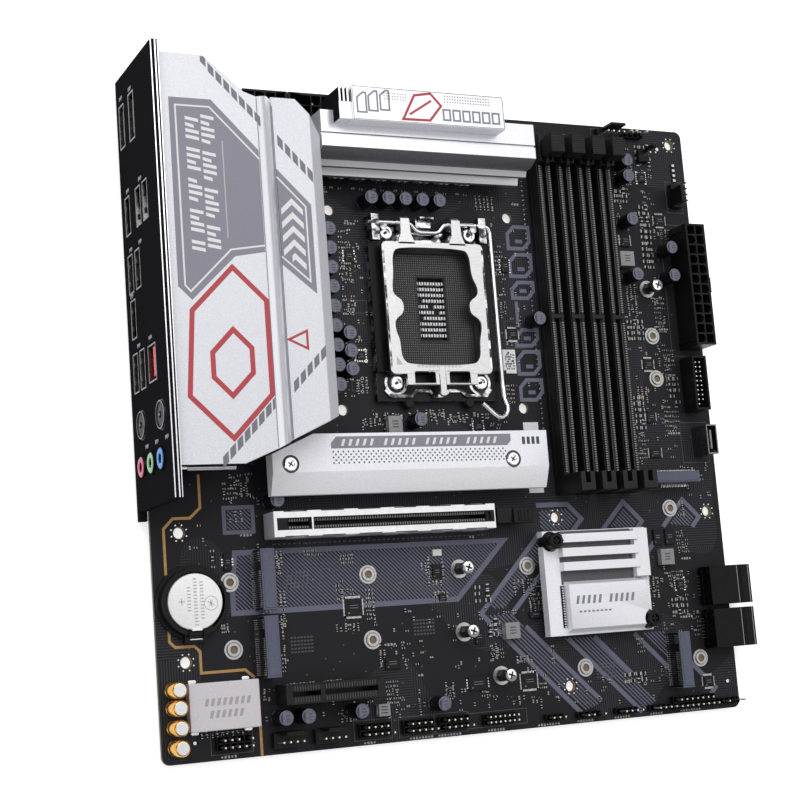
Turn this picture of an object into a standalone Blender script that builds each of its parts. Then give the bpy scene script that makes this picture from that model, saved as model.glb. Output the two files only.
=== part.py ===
"""Micro-ATX motherboard, lying with its component side up.

World axes: +X from the rear connectors to the front edge, +Y from the bottom edge to the edge by
the processor, +Z up. The world origin is under the middle of the whole assembly, at its lowest
point. On the board itself a place is given as `along` (distance from the rear edge), `down`
(distance from the edge by the processor) and `up` (height above the component side), in mm.
"""

import math

import bmesh
import bpy
from mathutils import Matrix, Vector

MM = 0.001
GAP = 0.3  # clearance between pieces that touch on the real board

# Board and its envelope
BOARD_REAR, BOARD_FRONT = -0.3, 244.1
BOARD_TOP, BOARD_BOTTOM = 0.0, 244.4
BOARD_THICK = 1.6
CORNER_RADIUS = 3.0
TAIL_REACH = 1.9  # solder joints stand this far out of the underside
LOWEST = -(BOARD_THICK + TAIL_REACH)
JACK_FRONT = -5.2
SHIELD_FACE = -4.2
SHIELD_TOP_END, SHIELD_BOTTOM_END = -2.9, 155.9
SHIELD_HEIGHT = (-1.2, 44.5)
SHEET = 0.8
SATA_FRONT = 250.0
MID_ALONG = (JACK_FRONT + SATA_FRONT) / 2
MID_DOWN = (SHIELD_TOP_END + BOARD_BOTTOM) / 2

# Mounting holes of the micro-ATX pattern, as (along, down)
MOUNT_HOLES = [
    (10.16, 29.21), (10.16, 163.83), (10.16, 209.55), (165.10, 6.35),
    (165.10, 163.83), (165.10, 229.87), (237.49, 6.35), (237.49, 163.83),
]
MOUNT_HOLE_RADIUS = 1.98
MOUNT_PAD_RADIUS = 4.2
MOUNT_PAD_PROUD = 0.1

# Processor socket
SOCKET_ALONG, SOCKET_DOWN = 116.17, 80.9
COOLER_HALF_PITCH = 39.0
COOLER_HOLE_RADIUS = 2.1
SOCKET_SCREWS = [(98.2, 51.4), (134.3, 51.4), (98.2, 110.4), (134.3, 110.4)]
SCREW_SHANK_RADIUS = 1.5
SCREW_HOLE_RADIUS = 2.0
LEVER_PIVOT_DOWN, LEVER_PIVOT_UP = 47.2, 4.8
LEVER_WIRE_RADIUS = 1.1
LEVER_ARM_ALONG = 143.8
PLATE_UNDER, PLATE_OVER = 7.2, 8.4

# Memory slots
MEMORY_FIRST_ALONG = 169.3
MEMORY_PITCH = 9.55
MEMORY_COUNT = 4
MEMORY_LATCH_PIVOT = (14.4, 4.4)  # (down, up)
MEMORY_KEY_DOWN = 84.1

# Expansion slots
SLOT_ALONG = 42.9
GRAPHICS_SLOT_DOWN = 163.1
SMALL_SLOT_DOWN = 223.6
SLOT_UP = 11.0

# M.2 module sockets
MODULE_SOCKET_UP = 8.6


# ---- shapes -------------------------------------------------------------------------------------


def spot(along, down, up):
    """World position of a place on the board."""
    return Vector((along - MID_ALONG, MID_DOWN - down, up - LOWEST)) * MM


def block(along, down, up):
    """A box between two places; each argument is a (low, high) pair."""

    def add(bm):
        low = spot(along[0], down[1], up[0])
        high = spot(along[1], down[0], up[1])
        size = Matrix.Diagonal((*(high - low), 1.0))
        bmesh.ops.create_cube(bm, size=1.0, matrix=Matrix.Translation((low + high) / 2) @ size)

    return add


def rod(start, end, radius, sides=24, end_radius=None):
    """A round bar or cone between two places."""

    def add(bm):
        first, last = spot(*start), spot(*end)
        turn = (last - first).to_track_quat("Z", "Y").to_matrix().to_4x4()
        bmesh.ops.create_cone(
            bm, cap_ends=True, segments=sides, depth=(last - first).length, radius1=radius * MM,
            radius2=(radius if end_radius is None else end_radius) * MM,
            matrix=Matrix.Translation((first + last) / 2) @ turn,
        )

    return add


def prism(outline, span, run="up"):
    """An outline carried over a span; `run` names the direction of the span."""

    def place(a, b, s):
        if run == "up":
            return spot(a, b, s)
        return spot(a, s, b) if run == "down" else spot(s, a, b)

    def add(bm):
        base = bm.faces.new([bm.verts.new(place(a, b, span[0])) for a, b in outline])
        made = bmesh.ops.extrude_face_region(bm, geom=[base])["geom"]
        shift = place(*outline[0], span[1]) - place(*outline[0], span[0])
        moved = [item for item in made if isinstance(item, bmesh.types.BMVert)]
        bmesh.ops.translate(bm, vec=shift, verts=moved)

    return add


def rounded_outline(along, down, radius, steps=4):
    """Corner points of a rectangle whose corners are quarter circles."""
    points = []
    corners = [(along[1], down[0], -90), (along[1], down[1], 0), (along[0], down[1], 90),
               (along[0], down[0], 180)]
    for corner_a, corner_d, start in corners:
        centre_a = corner_a - math.copysign(radius, corner_a - sum(along) / 2)
        centre_d = corner_d - math.copysign(radius, corner_d - sum(down) / 2)
        for step in range(steps + 1):
            angle = math.radians(start + 90 * step / steps)
            points.append((centre_a + radius * math.cos(angle), centre_d + radius * math.sin(angle)))
    return points


def mesh_of(name, shapes, origin):
    bm = bmesh.new()
    for shape in shapes:
        shape(bm)
    bmesh.ops.translate(bm, vec=-origin, verts=bm.verts)
    bmesh.ops.recalc_face_normals(bm, faces=bm.faces)
    mesh = bpy.data.meshes.new(name)
    bm.to_mesh(mesh)
    bm.free()
    return mesh


def helper(name, shapes):
    """A hidden object that a Boolean reads."""
    obj = bpy.data.objects.new(name, mesh_of(name, shapes, Vector()))
    obj.hide_render = True
    obj.display_type = "WIRE"
    CUTTERS.objects.link(obj)
    return obj


def finish(name, look):
    colour, roughness, metallic = look
    material = bpy.data.materials.new(name + "_finish")
    material.use_nodes = True
    shader = material.node_tree.nodes["Principled BSDF"]
    shader.inputs["Base Color"].default_value = (*colour, 1.0)
    shader.inputs["Roughness"].default_value = roughness
    shader.inputs["Metallic"].default_value = metallic
    material.diffuse_color = (*colour, 1.0)
    return material


def part(name, look, base, join=(), cut=(), pivot=None):
    """One piece: the base shape, with shapes joined to it and then others cut from it."""
    origin = spot(*pivot) if pivot else Vector()
    obj = bpy.data.objects.new(name, mesh_of(name, [base], origin))
    obj.location = origin
    PARTS.objects.link(obj)
    for operation, shapes in (("UNION", join), ("DIFFERENCE", cut)):
        if not shapes:
            continue
        boolean = obj.modifiers.new(operation.lower(), "BOOLEAN")
        boolean.operation = operation
        boolean.solver = "EXACT"
        boolean.use_self = True
        boolean.object = helper(f"{name}_{operation.lower()}", shapes)
    obj.data.materials.append(finish(name, look))
    return obj


def smooth(obj, angle=40):
    obj.data.shade_smooth()
    obj.data.set_sharp_from_angle(angle=math.radians(angle))


# ---- looks: (colour, roughness, metallic) --------------------------------------------------------

BOARD_BLACK = ((0.018, 0.018, 0.021), 0.45, 0.0)
WHITE_COAT = ((0.83, 0.83, 0.88), 0.42, 0.25)
BLACK_PLASTIC = ((0.012, 0.012, 0.013), 0.5, 0.0)
BLACK_SHEET = ((0.015, 0.015, 0.015), 0.4, 0.3)
BRIGHT_STEEL = ((0.85, 0.85, 0.86), 0.18, 1.0)
CONNECTOR_SHELL = ((0.6, 0.6, 0.62), 0.3, 1.0)
CHOKE_GREY = ((0.3, 0.3, 0.31), 0.55, 0.3)
CAPACITOR_CAN = ((0.34, 0.35, 0.42), 0.35, 0.9)
GOLD_SLEEVE = ((0.7, 0.42, 0.12), 0.3, 0.8)
CELL_STEEL = ((0.85, 0.85, 0.86), 0.3, 1.0)
LILAC_PLASTIC = ((0.2, 0.21, 0.3), 0.5, 0.0)
SHIELD_GREY = ((0.72, 0.7, 0.73), 0.45, 0.4)
JACK_PLASTIC = ((0.1, 0.1, 0.11), 0.45, 0.0)


# ---- board ---------------------------------------------------------------------------------------


def solder_rows():
    """Rows of soldered leads, as (along, down) pairs of ranges under the parts that they hold."""
    rows = []
    for index in range(MEMORY_COUNT):
        centre = MEMORY_FIRST_ALONG + index * MEMORY_PITCH
        rows.append(((centre - 2.2, centre + 2.2), (24.0, 146.0)))
    for centre in (GRAPHICS_SLOT_DOWN, SMALL_SLOT_DOWN):
        end = 129.0 if centre == GRAPHICS_SLOT_DOWN else 79.0
        rows.append(((SLOT_ALONG + 2, end), (centre - 2.0, centre + 2.0)))
    rows.append(((234.5, 240.5), (47.0, 93.5)))  # main power
    rows.append(((42.0, 74.5), (2.4, 8.0)))  # processor power
    rows.append(((231.6, 236.5), (101.5, 121.0)))  # front USB
    rows += [((5.0, 9.0), span) for span in ((9.0, 23.0), (43.0, 57.0), (65.0, 94.0), (101.0, 113.0))]
    rows.append(((3.5, 10.0), (136.5, 146.0)))  # audio jacks
    rows.append(((15.0, 232.0), (237.5, 241.5)))  # pin headers along the bottom edge
    return rows


def circuit_board():
    outline = rounded_outline((BOARD_REAR, BOARD_FRONT), (BOARD_TOP, BOARD_BOTTOM), CORNER_RADIUS)
    pads = [rod((a, d, -BOARD_THICK - MOUNT_PAD_PROUD), (a, d, -BOARD_THICK / 2), MOUNT_PAD_RADIUS)
            for a, d in MOUNT_HOLES]
    tails = [block(along, down, (LOWEST, -BOARD_THICK / 2)) for along, down in solder_rows()]
    holes = [rod((a, d, -4), (a, d, 1), MOUNT_HOLE_RADIUS) for a, d in MOUNT_HOLES]
    for side in (-1, 1):
        for end in (-1, 1):
            a, d = SOCKET_ALONG + side * COOLER_HALF_PITCH, SOCKET_DOWN + end * COOLER_HALF_PITCH
            holes.append(rod((a, d, -4), (a, d, 1), COOLER_HOLE_RADIUS, 20))
    holes += [rod((a, d, -4), (a, d, 1), SCREW_HOLE_RADIUS, 16) for a, d in SOCKET_SCREWS]
    part("circuit_board", BOARD_BLACK, prism(outline, (-BOARD_THICK, 0)), pads + tails, holes)


# ---- rear connectors -----------------------------------------------------------------------------

USB_OPENING = (13.2, 5.4)
# name: the mouths, as (centre down, centre up, width, height), and how far the body reaches inward
REAR_PORTS = {
    "display_ports": ([(15.7, 4.6, 15.2, 5.6), (15.7, 17.1, 16.6, 5.8)], 13.0),
    "usb_ports_upper": ([(49.6, 6.0, *USB_OPENING), (49.6, 19.6, *USB_OPENING),
                         (49.6, 28.2, *USB_OPENING)], 14.0),
    "usb_ports_middle": ([(71.1, 6.0, *USB_OPENING), (71.1, 15.0, *USB_OPENING)], 14.0),
    "usb_port_lower": ([(87.7, 6.6, *USB_OPENING)], 14.0),
}
NETWORK_DOWN = 107.1
NETWORK_MOUTHS = [(NETWORK_DOWN, 6.0, *USB_OPENING), (NETWORK_DOWN, 14.6, *USB_OPENING)]
NETWORK_JACK = (NETWORK_DOWN, 26.4, 12.0, 8.6)
ANTENNA_DOWN = 126.3
ANTENNA_UPS = (10.2, 33.9)
ANTENNA_RADIUS = 5.4
JACK_DOWN = 141.1
JACK_UPS = (9.7, 21.5, 33.3)
JACK_RADIUS = 3.7
MOUTH_WALL = 0.6
MOUTH_DEPTH = 9.0
PORT_FRONT = SHIELD_FACE + 0.1
PORT_SHOULDER = SHIELD_FACE + SHEET + GAP


def mouth_block(mouth, along, grow):
    """A box round the middle of a mouth, larger than it by `grow` on each side."""
    down, up, width, height = mouth
    return block(along, (down - width / 2 - grow, down + width / 2 + grow),
                 (up - height / 2 - grow, up + height / 2 + grow))


def port_body(name, mouths, tongues, reach, jacks=()):
    """A metal-shelled connector: a body behind the shield and a nose through it for each mouth."""
    every = list(mouths) + list(jacks)
    low = min(up - height / 2 for _, up, _, height in every) - 1.0
    high = max(up + height / 2 for _, up, _, height in every) + 1.0
    half = max(width for _, _, width, _ in every) / 2 + 0.9
    centre = every[0][0]
    body = block((PORT_SHOULDER, reach), (centre - half, centre + half), (max(low, GAP), high))
    noses = [mouth_block(mouth, (PORT_FRONT, PORT_SHOULDER + 1), MOUTH_WALL) for mouth in every]
    hollows = [mouth_block(mouth, (PORT_FRONT - 1, PORT_FRONT + MOUTH_DEPTH), 0) for mouth in mouths]
    hollows += [mouth_block(jack, (PORT_FRONT - 1, PORT_FRONT + MOUTH_DEPTH + 2), 0) for jack in jacks]
    shell = part(name, CONNECTOR_SHELL, body, noses, hollows)
    boolean = shell.modifiers.new("tongues", "BOOLEAN")
    boolean.operation = "UNION"
    boolean.solver = "EXACT"
    boolean.use_self = True
    boolean.object = helper(f"{name}_tongues", [
        block((PORT_FRONT + 1, PORT_FRONT + MOUTH_DEPTH + 1), (down - width / 2 + 1, down + width / 2 - 1),
              (up - 0.3, up + 1.5)) for down, up, width, _ in tongues])


def rear_ports():
    for name, (mouths, reach) in REAR_PORTS.items():
        port_body(name, mouths, mouths, reach)
    port_body("network_port", NETWORK_MOUTHS, NETWORK_MOUTHS, 17.0, [NETWORK_JACK])


def antenna_connectors():
    """Two push-on antenna connectors on one bracket."""
    bracket = block((PORT_SHOULDER, 2.0), (ANTENNA_DOWN - 6, ANTENNA_DOWN + 6), (GAP, 39.7))
    barrels = [rod((PORT_FRONT, ANTENNA_DOWN, up), (PORT_SHOULDER + 1, ANTENNA_DOWN, up), ANTENNA_RADIUS)
               for up in ANTENNA_UPS]
    sockets = [rod((PORT_FRONT - 1, ANTENNA_DOWN, up), (PORT_FRONT + 2.6, ANTENNA_DOWN, up),
                   ANTENNA_RADIUS - 0.8) for up in ANTENNA_UPS]
    part("antenna_connectors", CONNECTOR_SHELL, bracket, barrels, sockets)


def audio_jacks():
    """Three stacked sound jacks in one housing."""
    body = block((PORT_SHOULDER, 13.0), (JACK_DOWN - 4.2, JACK_DOWN + 1.5), (GAP, 38.6))
    collars = [rod((JACK_FRONT, JACK_DOWN, up), (PORT_SHOULDER + 1, JACK_DOWN, up), JACK_RADIUS)
               for up in JACK_UPS]
    bores = [rod((JACK_FRONT - 1, JACK_DOWN, up), (9.0, JACK_DOWN, up), 1.8, 16) for up in JACK_UPS]
    part("audio_jacks", JACK_PLASTIC, body, collars, bores)


def io_shield():
    """Pressed rear plate with turned edges and a window for every connector."""
    ends, heights = (SHIELD_TOP_END, SHIELD_BOTTOM_END), SHIELD_HEIGHT
    inner_ends = (ends[0] + SHEET, ends[1] - SHEET)
    inner_heights = (heights[0] + SHEET, heights[1] - SHEET)
    edge = SHIELD_FACE + 2.8
    tab = block((SHIELD_FACE, edge), (ends[1] - 1, ends[1] + 3.4), (heights[0], heights[0] + 3.0))
    windows = [block((SHIELD_FACE + SHEET, edge + 1), inner_ends, inner_heights)]
    mouths = [mouth for mouths, _ in REAR_PORTS.values() for mouth in mouths]
    for mouth in mouths + NETWORK_MOUTHS + [NETWORK_JACK]:
        windows.append(mouth_block(mouth, (SHIELD_FACE - 1, SHIELD_FACE + 1), MOUTH_WALL + GAP))
    for down, ups, radius in ((ANTENNA_DOWN, ANTENNA_UPS, ANTENNA_RADIUS), (JACK_DOWN, JACK_UPS, JACK_RADIUS)):
        windows += [rod((SHIELD_FACE - 1, down, up), (SHIELD_FACE + 1, down, up), radius + GAP)
                    for up in ups]
    part("io_shield", BLACK_SHEET, block((SHIELD_FACE, edge), ends, heights), [tab], windows)


# ---- cover and heatsinks -------------------------------------------------------------------------

COVER_UP = 42.0
COVER_STEP_UP = 32.0
COVER_WALL = 1.8
COVER_RIM_UP = 22.0
COVER_OUTLINE = [(-1.1, 0.4), (15.5, 0.4), (29.6, 12.6), (34.4, 14.2), (43.2, 12.2), (43.2, 135.6),
                 (34.4, 139.8), (21.9, 144.8), (-1.1, 144.8)]


def io_cover():
    """White cover over the rear connectors: a flat top, sloping down on its inner side."""
    slope = [(34.4, COVER_UP), (60.0, COVER_UP), (60.0, 20.0), (43.9, 20.0), (43.9, COVER_STEP_UP - 0.7)]
    hollow_outline = [(-3.0, 2.2), (14.8, 2.2), (28.6, 14.3), (33.0, 16.4), (41.4, 16.4), (41.4, 133.8),
                      (33.8, 137.6), (21.5, 143.0), (-3.0, 143.0)]
    hollow_top = [(-3.0, 10.0), (-3.0, COVER_UP - COVER_WALL), (33.4, COVER_UP - COVER_WALL),
                  (45.0, COVER_STEP_UP - 4.6), (45.0, 10.0)]
    cover = part("io_cover", WHITE_COAT, prism(COVER_OUTLINE, (COVER_RIM_UP, COVER_UP)),
                 cut=[prism(slope, (-5, 150), "down")])
    room = helper("io_cover_room", [prism(hollow_outline, (COVER_RIM_UP - 2, COVER_UP + 5))])
    ceiling = room.modifiers.new("ceiling", "BOOLEAN")
    ceiling.operation = "INTERSECT"
    ceiling.solver = "EXACT"
    ceiling.object = helper("io_cover_ceiling", [prism(hollow_top, (-5, 150), "down")])
    hollow = cover.modifiers.new("room", "BOOLEAN")
    hollow.operation = "DIFFERENCE"
    hollow.solver = "EXACT"
    hollow.object = room


def vrm_heatsink_left():
    """Heatsink of the left power stages: a chamfered bar cut off at a slant at its lower end."""
    profile = [(43.6, 32.0), (58.4, 32.0), (64.4, 26.0), (64.4, 9.0), (56.0, 9.0), (56.0, 20.0),
               (50.0, 20.0), (50.0, 9.0), (43.6, 9.0)]
    cuts = [
        prism([(51.9, 9.0), (70.0, 27.1), (70.0, 5.0), (51.9, 5.0)], (0, 60)),
        prism([(40.0, 137.2), (70.0, 123.6), (70.0, 140.0), (40.0, 140.0)], (0, 60)),
    ]
    part("vrm_heatsink_left", WHITE_COAT, prism(profile, (10.2, 136.0), "down"), cut=cuts)


TOP_SINK_ALONG = (64.9, 155.3)
TOP_BLOCK_ALONG = (75.0, 138.6)
TOP_BLOCK_DOWN = (3.8, 17.0)
TOP_BLOCK_UP = 34.0


def vrm_heatsink_top():
    """Heatsink of the upper power stages: a finned bar with a raised block over its back."""
    profile = [(13.4, 27.0), (25.3, 27.0), (27.9, 22.0), (27.9, 18.6), (30.1, 17.6), (30.1, 15.8),
               (28.6, 15.0), (28.6, 11.6), (31.5, 10.6), (31.5, 8.6), (14.4, 8.6), (11.5, 15.0),
               (11.5, 27.0)]
    block_low = (TOP_BLOCK_ALONG[0], TOP_BLOCK_ALONG[1])
    raised = block(block_low, TOP_BLOCK_DOWN, (15.5, TOP_BLOCK_UP))
    fins = [block((70.2 + 1.6 * index, 71.0 + 1.6 * index), (4.4, 12.6), (16.0, TOP_BLOCK_UP - 1))
            for index in range(3)]
    spine = block((70.0, 76.0), (10.0, 16.6), (20.0, TOP_BLOCK_UP - 1))
    groove = block((60.0, 160.0), (20.0, 20.8), (26.2, 28.0))
    clear = [block((60.0, 76.6), (0.0, 10.6), (5.0, 13.6))]
    part("vrm_heatsink_top", WHITE_COAT, prism(profile, TOP_SINK_ALONG, "along"),
         [raised, spine] + fins, [groove] + clear)


CHIPSET_ALONG, CHIPSET_DOWN = (154.2, 201.4), (169.7, 210.4)
CHIPSET_PINS = [(157.6, 173.8), (199.2, 206.2)]


def chipset_heatsink():
    """Low heatsink of the chipset: a plate, four ribs across its upper half, a raised block below."""
    plate = block(CHIPSET_ALONG, CHIPSET_DOWN, (3.0, 7.2))
    ribs = [block((161.0, 196.0), (down, down + 3.4), (7.0, 10.4)) for down in (171.2, 176.7, 182.2)]
    raised = prism([(189.6, 7.0), (190.9, 11.2), (208.0, 11.2), (209.6, 7.0)], (161.9, 197.4), "along")
    rear_rib = block((194.6, 201.0), (170.2, 189.2), (7.0, 9.6))
    seats = [rod((a, d, 2), (a, d, 13), 3.9, 20) for a, d in CHIPSET_PINS]
    part("chipset_heatsink", WHITE_COAT, plate, ribs + [raised, rear_rib], seats)
    part("chipset_package", BOARD_BLACK, block((167.0, 189.0), (179.0, 201.0), (GAP, 2.6)))
    for index, (a, d) in enumerate(CHIPSET_PINS):
        head = rod((a, d, 8.0), (a, d, 12.6), 3.0, 20)
        stem = rod((a, d, GAP), (a, d, 9.0), 2.0, 16)
        smooth(part(f"chipset_push_pin_{index + 1}", BLACK_PLASTIC, head, [stem]))


def m2_heatsink():
    """Lift-off cover of the solid-state drive, with a bevelled lower edge and two screws."""
    outline = [(41.6, 138.1), (58.0, 131.0), (155.4, 131.0), (155.4, 152.9), (41.6, 152.9)]
    bevel = [(144.6, 15.6), (156.0, 10.6), (156.0, 18.0), (144.6, 18.0)]
    bay = block((52.0, 160.0), (133.5, 150.5), (5.0, 12.4))
    screws = [(48.6, 141.9), (139.9, 141.9)]
    holes = [rod((a, d, 5), (a, d, 17), 1.8, 16) for a, d in screws]
    holes += [rod((a, d, 14.4), (a, d, 17), 3.0, 20) for a, d in screws]
    part("m2_heatsink", WHITE_COAT, prism(outline, (9.0, 15.5)),
         cut=[prism(bevel, (30, 170), "along"), bay] + holes)
    for name, (a, d) in zip(("m2_heatsink_screw_left", "m2_heatsink_screw_right"), screws):
        head = rod((a, d, 14.7), (a, d, 15.8), 2.7, 20)
        smooth(part(name, BRIGHT_STEEL, head, [rod((a, d, 1.0), (a, d, 15.0), 1.4, 14)]))


# ---- processor socket ----------------------------------------------------------------------------


def socket_frame():
    """Steel frame round the socket, with four screw ears and the lever's two bearings."""
    outer = block((90.6, 141.8), (54.5, 117.3), (GAP, 4.4))
    ears = [block((a - 4.6, a + 4.6), (d - 4.4, d + 4.4), (GAP, 3.0)) for a, d in SOCKET_SCREWS]
    bearings = [block((a - 1.6, a + 1.6), (44.6, 55.0), (GAP, 7.4)) for a in (93.0, 139.4)]
    bridge = block((91.4, 141.0), (50.0, 55.0), (GAP, 1.5))
    keeper = block((141.0, 147.4), (105.0, 109.0), (GAP, 2.6))
    well = block((95.8, 136.8), (56.2, 106.8), (-1, 6))
    holes = [rod((a, d, -1), (a, d, 6), SCREW_HOLE_RADIUS, 16) for a, d in SOCKET_SCREWS]
    low_front = block((88.0, 145.0), (106.0, 119.0), (3.0, 6.0))
    axle = rod((80, LEVER_PIVOT_DOWN, LEVER_PIVOT_UP), (150, LEVER_PIVOT_DOWN, LEVER_PIVOT_UP),
               LEVER_WIRE_RADIUS + GAP, 16)
    part("socket_frame", BRIGHT_STEEL, outer, ears + bearings + [bridge, keeper],
         [well, low_front, axle] + holes)


def socket_housing():
    """Black contact housing: a floor with a window in its middle and a low rim."""
    rim = block((96.3, 136.3), (56.7, 106.3), (GAP, 4.0))
    floor = block((98.6, 134.0), (59.0, 104.0), (2.4, 5))
    window = block((111.2, 122.6), (68.6, 93.2), (-1, 5))
    part("socket_housing", BLACK_PLASTIC, rim, cut=[floor, window])


def socket_backplate():
    """Steel plate under the board that the socket's screws pull against."""
    outline = rounded_outline((91.0, 141.4), (45.0, 117.0), 3.0, 3)
    holes = [rod((a, d, -5), (a, d, -1), SCREW_HOLE_RADIUS, 16) for a, d in SOCKET_SCREWS]
    window = block((105.6, 126.6), (70.4, 91.4), (-5, -1))
    part("socket_backplate", BRIGHT_STEEL, prism(outline, (LOWEST, -BOARD_THICK - GAP)),
         cut=holes + [window])


def socket_screws():
    for index, (a, d) in enumerate(SOCKET_SCREWS):
        head = rod((a, d, 3.3), (a, d, 5.4), 2.8, 20)
        shank = rod((a, d, LOWEST + 0.2), (a, d, 4.0), SCREW_SHANK_RADIUS, 14)
        drive = rod((a, d, 4.4), (a, d, 6.0), 1.3, 6)
        smooth(part(f"socket_screw_{index + 1}", BRIGHT_STEEL, head, [shank], [drive]))


def socket_load_plate():
    """Sprung plate that presses the processor down; it swings about the lever's axle."""
    plate = rounded_outline((94.4, 138.2), (55.6, 107.6), 1.5, 3)
    window = [(100.4, 62.0), (104.4, 58.4), (128.4, 58.4), (132.4, 62.0), (132.4, 68.0), (134.4, 71.0),
              (134.4, 74.6), (129.6, 78.4), (129.6, 84.4), (134.4, 88.2), (134.4, 91.4), (132.4, 94.4),
              (132.4, 99.6), (128.4, 103.4), (104.4, 103.4), (100.4, 99.6), (100.4, 94.4), (98.4, 91.4),
              (98.4, 88.2), (103.2, 84.4), (103.2, 78.4), (98.4, 74.6), (98.4, 71.0), (100.4, 68.0)]
    span = (PLATE_UNDER, PLATE_OVER)
    arms = [block((a - 4.0, a + 4.0), (46.0, 57.0), span) for a in (105.2, 127.2)]
    knuckles = [rod((a - 2.0, LEVER_PIVOT_DOWN, LEVER_PIVOT_UP), (a + 2.0, LEVER_PIVOT_DOWN, LEVER_PIVOT_UP),
                    2.9, 20) for a in (105.2, 127.2)]
    tongue = [block((114.9, 117.5), (106.0, 116.0), span)]
    ears = [prism([(94.4, 100.0), (138.2, 100.0), (138.2, 106.4), (131.4, 106.4), (131.4, 112.0),
                   (101.2, 112.0), (101.2, 106.4), (94.4, 106.4)], span)]
    axle = rod((80, LEVER_PIVOT_DOWN, LEVER_PIVOT_UP), (150, LEVER_PIVOT_DOWN, LEVER_PIVOT_UP),
               LEVER_WIRE_RADIUS + GAP, 16)
    notches = [prism(window, (5, 10)), axle]
    notches += [block(along, (108.4, 113.0), (5, 10)) for along in ((104.4, 113.2), (119.2, 128.2))]
    part("socket_load_plate", BRIGHT_STEEL, prism(plate, span), arms + knuckles + tongue + ears,
         notches, (116.2, LEVER_PIVOT_DOWN, LEVER_PIVOT_UP))


def lever_route():
    """Centre line of the lever wire: end, crank, axle, arm and hooked handle."""
    down, up = LEVER_PIVOT_DOWN, LEVER_PIVOT_UP
    crank = [(91.0, 0), (107.4, 0), (109.0, 0.6), (111.2, 3.0), (113.0, 3.6), (119.4, 3.6), (121.2, 3.0),
             (123.4, 0.6), (125.0, 0), (141.6, 0)]
    route = [(along, down + drop, up) for along, drop in crank]
    corner_radius = LEVER_ARM_ALONG - 141.6
    for step in (1, 2, 3):
        angle = math.radians(30 * step)
        route.append((141.6 + corner_radius * math.sin(angle), down + corner_radius * (1 - math.cos(angle)), up))
    route += [(LEVER_ARM_ALONG, 110.0, up), (LEVER_ARM_ALONG, 117.0, up + 0.6)]
    hook_centre, hook_radius = (140.6, 120.6), 4.0
    for step in range(5):
        angle = math.radians(-10 + 35 * step)
        route.append((hook_centre[0] + hook_radius * math.cos(angle),
                      hook_centre[1] + hook_radius * math.sin(angle), up + 1.2 + 0.3 * step))
    route.append((132.6, 119.0, up + 2.8))
    return route


def wire(name, look, route, radius, pivot):
    """A round wire through a list of places, as a mesh with closed ends."""
    curve = bpy.data.curves.new(name, "CURVE")
    curve.dimensions = "3D"
    curve.bevel_depth = radius * MM
    curve.bevel_resolution = 2
    curve.use_fill_caps = True
    spline = curve.splines.new("POLY")
    spline.points.add(len(route) - 1)
    origin = spot(*pivot)
    for point, place in zip(spline.points, route):
        point.co = (*(spot(*place) - origin), 1.0)
    obj = bpy.data.objects.new(name, curve)
    obj.location = origin
    PARTS.objects.link(obj)
    obj.data.materials.append(finish(name, look))


def socket():
    socket_frame()
    socket_housing()
    socket_backplate()
    socket_screws()
    socket_load_plate()
    wire("socket_lever", BRIGHT_STEEL, lever_route(), LEVER_WIRE_RADIUS,
         (LEVER_ARM_ALONG, LEVER_PIVOT_DOWN, LEVER_PIVOT_UP))


# ---- memory --------------------------------------------------------------------------------------


def memory_slot(index):
    """One memory slot: a grooved rail between a fixed tower and the tower that holds the latch."""
    centre = MEMORY_FIRST_ALONG + index * MEMORY_PITCH
    rail = block((centre - 3.2, centre + 3.2), (20.0, 149.0), (GAP, 8.4))
    fixed = block((centre - 3.2, centre + 3.2), (148.0, 155.4), (GAP, 20.8))
    latch_tower = block((centre - 3.2, centre + 3.2), (9.6, 21.0), (GAP, 12.0))
    latch_room = block((centre - 2.3, centre + 2.3), (8.0, 20.0), (1.1, 14.0))
    groove = (centre - 1.0, centre + 1.0)
    cuts = [
        latch_room,
        block(groove, (19.0, MEMORY_KEY_DOWN - 0.9), (3.0, 14.0)),
        block(groove, (MEMORY_KEY_DOWN + 0.9, 152.4), (3.0, 22.0)),
    ]
    part(f"memory_slot_{index + 1}", BLACK_PLASTIC, rail, [fixed, latch_tower], cuts)


def memory_latch(index):
    """Swinging latch of a memory slot: a stem, a ribbed thumb pad and a nose over the module."""
    centre = MEMORY_FIRST_ALONG + index * MEMORY_PITCH
    pivot_down, pivot_up = MEMORY_LATCH_PIVOT
    stem = block((centre - 1.9, centre + 1.9), (12.6, 17.6), (2.4, 15.0))
    pad = prism([(13.4, 13.6), (19.4, 13.6), (20.4, 16.4), (19.6, 21.4), (12.8, 21.4), (11.6, 17.0)],
                (centre - 3.0, centre + 3.0), "along")
    nose = prism([(17.0, 9.6), (21.6, 10.6), (21.6, 12.2), (17.0, 13.2)],
                 (centre - 0.7, centre + 0.7), "along")
    part(f"memory_latch_{index + 1}", BLACK_PLASTIC, stem, [pad, nose],
         pivot=(centre, pivot_down, pivot_up))


# ---- expansion slots -----------------------------------------------------------------------------


def slot_cuts(centre, end, key=57.0):
    """The grooves of an expansion slot on both sides of its key."""
    groove = (centre - 1.0, centre + 1.0)
    return [block((SLOT_ALONG + 2.6, key - 0.9), groove, (3.0, SLOT_UP + 3)),
            block((key + 0.9, end - 2.6), groove, (3.0, SLOT_UP + 3))]


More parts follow.
